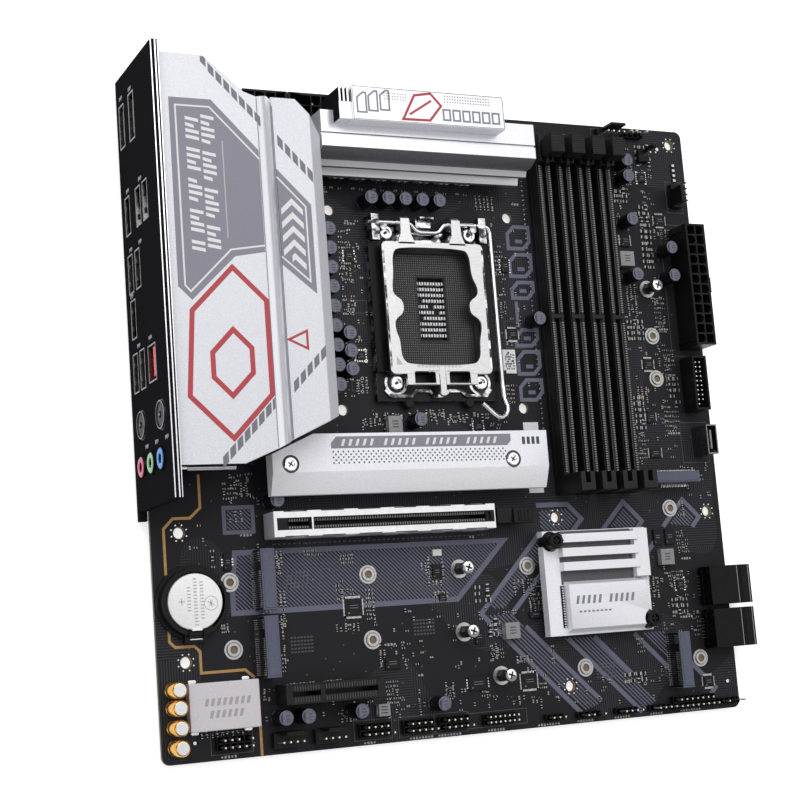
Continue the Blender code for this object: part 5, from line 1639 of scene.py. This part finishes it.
def battery():
    """The holder, and the coin cell that lifts out of it."""
    a, d = 13.4, 188.6
    holder = Making()
    holder.ring((a, d), 11.6, 13.3, (0.2, 1.5), sides=64)
    holder.box((a - 3.6, a + 3.6), (d + 11.4, d + 13.9), (2.6, 3.6))
    holder.box((a - 1.9, a + 1.9), (d + 9.0, d + 10.2), (5.2, 5.45), 1)
    holder.box((a - 2.3, a + 2.3), (d + 12.9, d + 13.3), (3.5, 3.75), 1)
    for side in (-2.9, 2.4):
        holder.box((a + side, a + side + 0.5), (d + 9.4, d + 12.4), (2.6, 5.3))
    refined("battery_holder", [BLACK_PLASTIC, SATIN_STEEL], 0.2, extra=holder,
            slot="black_plastic")
    cell = Making()
    cell.turning((a, d), [(8.0, 1.9), (9.0, 2.0), (9.3, 2.5), (9.5, 3.0), (10.0, 3.1), (10.0, 4.8),
                          (9.8, 5.05), (9.4, 5.1)], sides=72)
    mark = (5.1, 5.12)
    cell.block((6.9 + 1.4, 188.4), (2.4, 0.35), mark, 1)
    cell.block((6.9 + 1.4, 188.4), (0.35, 2.4), mark, 1)
    for column, (low, high) in enumerate(((183.6, 192.8), (180.6, 197.4), (181.8, 195.6))):
        along = 11.0 + column * 2.4
        step = low
        while step < high:
            cell.block((along, step), (1.3, 0.45), mark, 1)
            step += 1.15
    cell.ring((19.0, 189.4), 2.35, 2.6, mark, 1, 28)
    for turn in (30, 75, 120):
        cell.block((19.0, 189.4), (2.8, 0.3), mark, 1, turn)
    piece("coin_cell_finished", cell, body="cell", looks=[CELL_TOP, CELL_MARK],
          slot="cell_steel", replaces=("coin_cell",))
    loop = Making()
    loop.turning((a, d), [(11.1, 1.7), (11.9, 1.7), (11.9, 4.5), (11.1, 4.5)], 0, 64, closed=True)
    piece("battery_holder_rim", loop, [BLACK_PLASTIC], slot="black_plastic")


def audio_corner():
    """The metal cover over the sound chip, and the parts beside it."""
    (a0, a1), (d0, d1), (_, top) = reach("audio_cover")
    ears = Making()
    for a, d in product((a0 + 2.6, a1 - 3.6), (d0 - 0.5, d1 + 0.5)):
        ears.prism(round_rectangle((a - 1.6, a + 1.6), (d - 0.75, d + 0.75), 0.7), (0.1, 0.8), 1)
    refined("audio_cover", [PAINTED_TAB, SATIN_STEEL], 0.35, extra=ears, slot="shield_grey",
            segments=3)
    mark = Making()
    line = (top, top + 0.02)
    for row, (low, high) in enumerate(((14.6, 30.2), (16.2, 29.0))):
        along = low
        while along < high:
            mark.slant((along, 222.6 + row * 4.2), (1.2, 2.6), 0.0, 0.7, line)
            along += 2.2
    printed("audio_cover_marks", mark, [GREY_ETCH], slot="shield_grey")
    cluster(22.0, 170.6, 1, 3, (2.0, 2.9), 0, (1.4, 0.8), gaps=0)
    cluster(14.4, 233.2, 9, 3, (1.9, 1.25), 90, (1.1, 0.6), 0.1)


# ---- small parts over the open board ----


def scattered_parts():
    """Small parts over the open board, in groups and singly."""
    groups = [
        (206.6, 47.2, 4, 3, (1.9, 1.5), 0),
        (225.6, 44.6, 5, 3, (1.8, 1.4), 90), (222.4, 74.0, 3, 8, (1.9, 2.0), 0),
        (209.0, 69.0, 3, 8, (1.9, 1.7), 90), (224.4, 96.0, 3, 9, (1.9, 2.1), 0),
        (209.6, 112.0, 3, 6, (2.0, 1.8), 90),
        (222.0, 120.0, 4, 6, (1.9, 2.0), 0), (206.0, 132.0, 3, 7, (2.0, 1.8), 0),
        (216.0, 188.0, 4, 3, (1.9, 1.5), 0), (222.0, 172.0, 3, 6, (1.9, 1.6), 0),
        (206.0, 190.0, 3, 5, (1.9, 1.8), 90), (208.0, 226.0, 4, 3, (1.9, 1.5), 0),
        (144.0, 188.0, 3, 4, (1.9, 1.6), 90), (150.6, 187.6, 4, 6, (1.8, 1.5), 0),
        (150.4, 196.6, 4, 3, (1.8, 1.4), 90), (132.6, 203.2, 3, 4, (1.7, 1.6), 90),
        (131.8, 212.0, 2, 4, (1.7, 1.5), 90), (138.4, 199.6, 5, 1, (1.3, 1.0), 90),
        (142.4, 217.4, 5, 2, (1.6, 1.4), 90), (132.4, 213.6, 3, 3, (1.8, 1.5), 0),
        (126.6, 224.6, 2, 5, (1.6, 1.5), 0), (111.0, 225.0, 3, 4, (1.5, 1.4), 90),
        (87.0, 222.4, 3, 6, (1.8, 1.5), 0), (99.6, 225.0, 1, 7, (1.6, 1.6), 90),
        (90.6, 227.0, 2, 5, (1.7, 1.4), 0), (68.0, 233.4, 4, 2, (1.6, 1.2), 90),
        (68.4, 200.4, 6, 2, (1.7, 1.5), 90), (71.6, 187.6, 3, 2, (1.8, 1.4), 0),
        (81.4, 188.0, 2, 8, (1.6, 1.5), 0), (72.4, 174.6, 3, 3, (1.8, 1.4), 0),
        (58.0, 172.4, 4, 2, (1.8, 1.4), 0), (46.6, 172.6, 2, 4, (1.6, 1.3), 90),
        (47.0, 187.0, 2, 4, (1.6, 1.4), 90), (46.8, 196.0, 2, 3, (1.5, 1.4), 90),
        (46.8, 209.6, 1, 5, (1.6, 1.4), 0), (24.6, 197.4, 2, 3, (1.6, 1.2), 0),
        (104.8, 179.6, 2, 3, (1.6, 1.4), 90), (107.4, 185.6, 4, 2, (1.6, 1.4), 90),
        (109.6, 190.8, 4, 3, (1.5, 1.4), 0), (146.8, 222.0, 3, 2, (1.6, 1.4), 90),
        (152.0, 225.0, 2, 4, (1.7, 1.5), 0), (86.0, 124.0, 6, 2, (1.9, 1.6), 90),
        (108.0, 120.8, 7, 3, (1.9, 1.5), 90), (122.4, 123.0, 6, 2, (1.8, 1.5), 90),
        (80.6, 50.4, 3, 10, (1.7, 2.1), 0), (80.8, 76.0, 3, 5, (1.7, 1.7), 0),
        (80.6, 96.4, 3, 6, (1.7, 1.7), 0), (84.0, 108.0, 3, 4, (1.8, 1.7), 90),
        (146.6, 56.4, 3, 6, (1.9, 1.8), 0), (147.0, 72.0, 3, 7, (1.8, 1.8), 90),
        (147.0, 110.8, 3, 5, (1.8, 1.7), 0), (76.0, 33.4, 1, 2, (1.8, 1.4), 0),
        (60.0, 11.8, 5, 1, (2.2, 1.4), 90), (44.0, 11.8, 5, 1, (2.2, 1.4), 90),
        (141.6, 6.2, 3, 3, (1.8, 1.6), 0), (141.4, 34.0, 5, 4, (1.8, 1.5), 90),
        (198.0, 214.0, 2, 4, (1.8, 1.6), 0), (226.0, 205.0, 2, 6, (1.7, 1.8), 0),
        (38.6, 221.6, 2, 3, (1.8, 1.6), 90), (85.0, 211.0, 2, 4, (1.8, 1.6), 90),
        (28.0, 146.6, 3, 4, (2.0, 1.8), 0), (34.6, 147.0, 2, 3, (2.0, 2.0), 90),
        (8.0, 146.6, 3, 3, (2.0, 1.7), 0), (29.6, 157.4, 3, 2, (2.2, 2.6), 90),
        (47.2, 172.8, 1, 6, (1.5, 1.45), 90), (47.2, 197.4, 1, 8, (1.5, 1.5), 90),
        (69.6, 184.2, 2, 5, (1.7, 1.6), 0), (83.8, 193.4, 1, 6, (1.6, 1.5), 90),
        (107.6, 177.4, 1, 6, (1.5, 1.3), 90), (113.6, 178.4, 1, 5, (1.5, 1.5), 90),
        (142.0, 232.6, 6, 2, (1.9, 1.7), 90), (158.4, 214.0, 1, 5, (1.6, 1.6), 0),
        (206.0, 174.0, 1, 5, (1.6, 1.6), 0), (224.0, 160.0, 2, 4, (1.8, 1.6), 90),
        (240.4, 100.0, 1, 8, (1.6, 2.4), 0), (228.6, 146.0, 3, 2, (1.8, 1.7), 90),
        (160.6, 14.0, 2, 6, (1.8, 1.8), 90), (99.0, 47.6, 1, 2, (1.8, 1.8), 0),
    ]
    for group in groups:
        cluster(*group, size=(1.15, 0.62))
    large = [
        (220.6, 8.0, 3, 4, (2.7, 2.5), 0), (206.4, 28.0, 3, 3, (2.8, 2.2), 0),
        (219.6, 34.6, 2, 11, (2.7, 2.6), 0), (216.6, 199.2, 3, 3, (2.6, 2.5), 0),
        (191.0, 227.4, 4, 2, (2.6, 2.6), 0), (208.4, 84.0, 3, 4, (2.7, 2.4), 0),
        (226.0, 108.0, 2, 5, (2.6, 2.5), 0), (208.0, 116.0, 2, 6, (2.6, 2.5), 0),
        (127.4, 189.4, 2, 3, (4.4, 2.6), 0), (131.6, 202.8, 2, 3, (2.5, 2.4), 90),
    ]
    for group in large:
        cluster(*group, size=(2.1, 1.25), tan_share=0.1, gaps=0.05)
    for along, down, count in (
            ((206, 228), (9, 30), 34), ((206, 226), (30, 46), 22), ((206, 227), (72, 142), 80),
            ((30, 46), (143, 158), 26), ((86, 132), (196, 207), 16), ((84, 134), (208, 219), 26),
            ((142, 160), (44, 120), 44), ((78, 90), (44, 118), 60), ((84, 148), (120.5, 128), 34),
            ((206, 228), (186, 212), 34), ((60, 140), (227, 235), 34), ((150, 212), (228, 238), 26),
            ((8, 24), (160, 172), 8), ((36, 48), (168, 212), 26), ((225, 240), (144, 158), 12)):
        for _ in range(count):
            place = (random.uniform(*along), random.uniform(*down))
            holes = MOUNT_HOLES + COOLER_HOLES
            if min((Vector(place) - Vector(hole)).length for hole in holes) > 4.8:
                chip_part(*place, 1.15, 0.6, 0.42, random.choice((0, 90)), random.random() < 0.2)
    for along in range(14):
        chip_part(90.6 + along * 3.5, 122.2 + 0.6 * (along % 2), 1.4, 0.8, turn=90,
                  tan=along % 3 == 0)
    for along, down, size, leads in (
            (75.5, 194.0, (6.6, 6.6), (12, 12)), (146.8, 226.5, (6.4, 6.0), (12, 12)),
            (124.6, 225.6, (8.0, 5.2), (4, 0)), (228.6, 40.0, (4.8, 4.8), (8, 8)),
            (210.4, 49.4, (4.2, 5.2), (8, 0)), (221.6, 21.6, (3.6, 3.8), (6, 0)),
            (220.6, 193.0, (3.6, 3.4), (6, 0)), (211.8, 173.6, (4.0, 6.4), (0, 0)),
            (217.6, 173.6, (4.4, 6.4), (0, 0)), (110.8, 182.6, (3.8, 5.6), (0, 0)),
            (89.6, 215.4, (6.0, 4.6), (0, 0)), (126.6, 208.2, (3.6, 5.6), (0, 0)),
            (27.6, 175.0, (3.0, 6.0), (3, 0)), (152.0, 201.4, (5.4, 2.2), (0, 0)),
            (112.4, 192.4, (3.0, 2.6), (0, 0)), (152.8, 90.0, (4.4, 4.4), (8, 8)),
            (152.0, 62.0, (3.4, 5.4), (6, 0)), (86.0, 99.0, (3.4, 3.4), (6, 6)),
            (84.0, 60.0, (3.6, 5.0), (5, 0)), (215.0, 139.0, (5.2, 4.0), (8, 0)),
            (215.8, 102.0, (4.6, 4.6), (8, 8)), (214.6, 124.0, (4.0, 5.0), (7, 0)),
            (134.0, 126.8, (3.6, 3.2), (5, 0)), (229.6, 233.0, (4.4, 4.4), (8, 8))):
        package(along, down, size, leads=leads, pitch=0.5 if leads[0] > 6 else 1.0)
    lights = Making()
    for step in range(4):
        down = 15.4 + 2.2 * step
        lights.box((237.0, 239.4), (down - 0.6, down + 0.6), (0.05, 0.6))
        lights.box((237.6, 238.8), (down - 0.5, down + 0.5), (0.6, 0.8), 1)
    for place, radius in (((231.4, 8.4), 0.7), ((239.2, 233.6), 0.7), ((11.8, 237.6), 0.6)):
        lights.post(place, (0.02, 0.08), radius, 2)
    lights.box((109.6, 113.2), (174.2, 176.6), (0.05, 1.1), 1)
    piece("small_lights", lights, [CHIP_BLACK, LABEL, SOLDER], slot="black_plastic")
    dots = Bank("memory_test_dots", SOLDER, "round", 8, 0.8)
    for step in range(60):
        dots.add((163.4, 24.0 + 2.0 * step, 0.04), (0.7, 0.7, 0.08))
    for step in range(44):
        FAINT_LEGEND.add((46.0 + 2.0 * step, 169.4, 0.02), (0.9 if step % 2 else 1.3, 0.5, 0.04))


def legends():
    """Short pale ticks in place of the printed wording, and outlines round the connectors."""
    lines = [(100.0, 243.6, 8), (24.6, 243.4, 5), (79.0, 243.6, 4), (111.8, 243.6, 8),
             (131.6, 243.6, 6), (154.6, 243.6, 8), (171.0, 243.6, 6), (188.0, 243.6, 6),
             (204.0, 243.6, 5), (220.4, 243.6, 8), (53.4, 220.2, 9), (66.0, 220.2, 6),
             (222.0, 1.2, 5), (205.0, 8.6, 5), (226.0, 87.0, 4), (226.0, 131.0, 5),
             (223.0, 206.4, 5), (146.0, 50.0, 4), (86.0, 47.0, 4), (160.0, 36.0, 3),
             (127.8, 170.0, 2), (225.6, 182.8, 4), (141.6, 11.6, 5), (90.0, 208.6, 4),
             (101.6, 220.8, 2), (36.0, 165.6, 4), ]
    for along, down, count in lines:
        for step in range(count):
            LEGEND.add((along + (step - count / 2) * 1.25, down, 0.02),
                       (0.75, 0.9 if step % 3 else 0.6, 0.04))
    for along, down in ((54.4, 206.2), (54.4, 182.6), (104.0, 203.0), (182.0, 225.0)):
        for row, step in product(range(5), range(7)):
            FAINT_LEGEND.add((along - 4 + step * 1.3, down - 2.6 + row * 1.3, 0.02),
                             (0.9, 0.6, 0.04))
    for _ in range(420):
        along, down = random.uniform(3, 241), random.uniform(3, 241)
        VIAS.add((along, down, 0.02), (0.42, 0.42, 0.05))
    outlines = Making()
    for along, down in (((79.6, 90.0), (77.4, 82.4)), ((81.6, 85.8), (108.8, 112.6)),
                        ((199.0, 212.0), (1.2, 8.0)), ((233.6, 241.4), (22.6, 36.2)),
                        ((228.6, 243.8), (41.6, 98.4)), ((228.6, 242.0), (126.6, 143.4)),
                        ((149.6, 157.0), (84.6, 95.4)), ((205.4, 216.0), (146.0, 154.0))):
        outlines.outline(along, down, 0.22, (0.0, 0.03))
    printed("legend_outlines", outlines, [PRINT_FAINT])


def underside():
    """Solder joints and small print on the underside."""
    low = -BOARD_THICK - 0.35

    def joints(along, down, pitch):
        a = along[0]
        while a <= along[1] + 0.01:
            d = down[0]
            while d <= down[1] + 0.01:
                UNDER_JOINTS.add((a, d, low), (1.25, 1.25, 0.9), tip=(180.0, 0.0))
                d += pitch[1]
            a += pitch[0]

    for index in range(4):
        centre = 169.3 + 9.55 * index
        joints((centre - 2.0, centre + 2.0), (24.4, 146.0), (2.0, 1.9))
    for along, down, pitch in (((45.0, 129.0), (161.4, 165.0), (2.0, 1.8)),
                               ((45.0, 79.0), (221.8, 225.4), (2.0, 1.8)),
                               ((235.0, 240.0), (47.0, 93.4), (POWER_PITCH, POWER_PITCH)),
                               ((42.8, 74.0), (3.0, 7.4), (POWER_PITCH, POWER_PITCH)),
                               ((233.6, 236.0), (101.8, 121.0), (2.0, 2.0)),
                               ((5.0, 9.0), (44.0, 56.0), (2.0, 2.0)),
                               ((5.0, 9.0), (65.0, 93.0), (2.0, 2.3)),
                               ((5.0, 9.0), (102.0, 112.6), (2.0, 1.3)),
                               ((5.0, 9.0), (9.6, 22.6), (2.0, 1.4)),
                               ((4.0, 10.0), (137.0, 146.0), (3.0, 3.0)),
                               ((16.0, 231.0), (238.2, 240.8), (PIN_PITCH, PIN_PITCH))):
        joints(along, down, pitch)
    for step in range(9):
        joints((72.0, 74.2), (51.6 + 7.5 * step, 51.6 + 7.5 * step), (2.2, 1.0))
    for step in range(5):
        joints((91.6 + 7.3 * step, 91.6 + 7.3 * step), (37.4, 39.6), (2.0, 2.2))
    under = Making()
    for _ in range(90):
        along, down = random.uniform(30, 225), random.uniform(14, 232)
        if 88 < along < 144 and 42 < down < 120 or 165 < along < 202 and down < 150:
            continue
        turn = random.choice((0, 90))
        under.block((along, down), (0.9, 0.7), (-BOARD_THICK - 0.5, -BOARD_THICK), 1, turn)
        for side in (-0.62, 0.62):
            shift = (side, 0) if not turn else (0, side)
            under.block((along + shift[0], down + shift[1]), (0.36, 0.74),
                        (-BOARD_THICK - 0.46, -BOARD_THICK), 0, turn)
    for along, down, count in ((30, 30, 8), (120, 150, 10), (210, 200, 8), (60, 200, 9)):
        for step in range(count):
            under.block((along + step * 1.5, down), (0.9, 1.2),
                        (-BOARD_THICK - 0.03, -BOARD_THICK), 2)
    piece("underside_parts", under, [SOLDER, CHIP_BLACK, PRINT_PALE], slot="connector_shell",
          smooth=None)


# ---- putting it together ----

circuit_board()
board_print()
capacitors()
chokes()
posts()
covers()
drive_cover()
chipset()
rear_panel()
socket()
memory()
card_slots()
module_sockets()
power_sockets()
storage_ports()
front_headers()
headers()
battery()
audio_corner()
scattered_parts()
legends()
underside()
piece("chip_packages", PACKAGES, [CHIP_BLACK], slot="black_plastic", bevel=0.1)
printed("chip_package_marks", PACKAGE_MARKS, [PRINT_DARK], slot="black_plastic")
for bank in Bank.every:
    bank.make()


# ---- camera, floor and light ----

camera_data = bpy.data.cameras.new("camera")
camera_data.lens = 73.63
camera_data.sensor_width = 36.0
camera_data.dof.use_dof = False
camera_data.clip_start = 0.02
camera = added("camera", camera_data)
right, down, ahead = (Vector((0.90620, -0.07585, 0.41599)), Vector((-0.00592, -0.98596, -0.16688)),
                      Vector((0.42280, 0.14876, -0.89393)))
camera.matrix_world = Matrix.Translation(spot(-164.57, 209.75, 561.87)) @ Matrix(
    (right, -down, -ahead)).transposed().to_4x4()
bpy.context.scene.camera = camera

floor_level = CAD_BOX[0].z - 0.0005
floor_mesh = bpy.data.meshes.new("floor")
floor_mesh.from_pydata([(-6, -6, floor_level), (6, -6, floor_level), (6, 6, floor_level),
                        (-6, 6, floor_level)], [], [(0, 1, 2, 3)])
paper = Finish("pale_floor", roughness=0.9, specular=0.1)
paper_tone = paper.ramp(paper.noise(2.0), (0.3, grey(0.93)), (0.7, grey(0.96)))
for label in ("Base Color", "Emission Color"):
    paper.feed(label, paper_tone)
paper.shader.inputs["Emission Strength"].default_value = 0.6
floor_mesh.materials.append(paper.material)
floor = added("floor", floor_mesh)


def soft_light(name, place, aim, size, power):
    """A soft rectangular light, aimed at a place."""
    data = bpy.data.lights.new(name, "AREA")
    data.shape = "RECTANGLE"
    data.size, data.size_y = size
    data.energy = power
    light = added(name, data)
    light.location = place
    light.rotation_euler = (Vector(aim) - Vector(place)).to_track_quat("-Z", "Y").to_euler()


soft_light("key_softbox", (-0.15, 0.62, 0.95), (0, 0, 0), (1.1, 0.8), 7.6)
soft_light("mirror_softbox", (0.52, 0.16, 1.05), (0, 0, 0), (0.9, 0.9), 2.5)
soft_light("rear_softbox", (-0.9, -0.35, 0.9), (0, 0, 0), (0.8, 0.9), 3.0)

world = bpy.data.worlds.new("studio")
world.use_nodes = True
world.node_tree.nodes["Background"].inputs["Color"].default_value = (1, 1, 1, 1)
world.node_tree.nodes["Background"].inputs["Strength"].default_value = 0.28
bpy.context.scene.world = world
bpy.context.scene.view_settings.view_transform = "Standard"
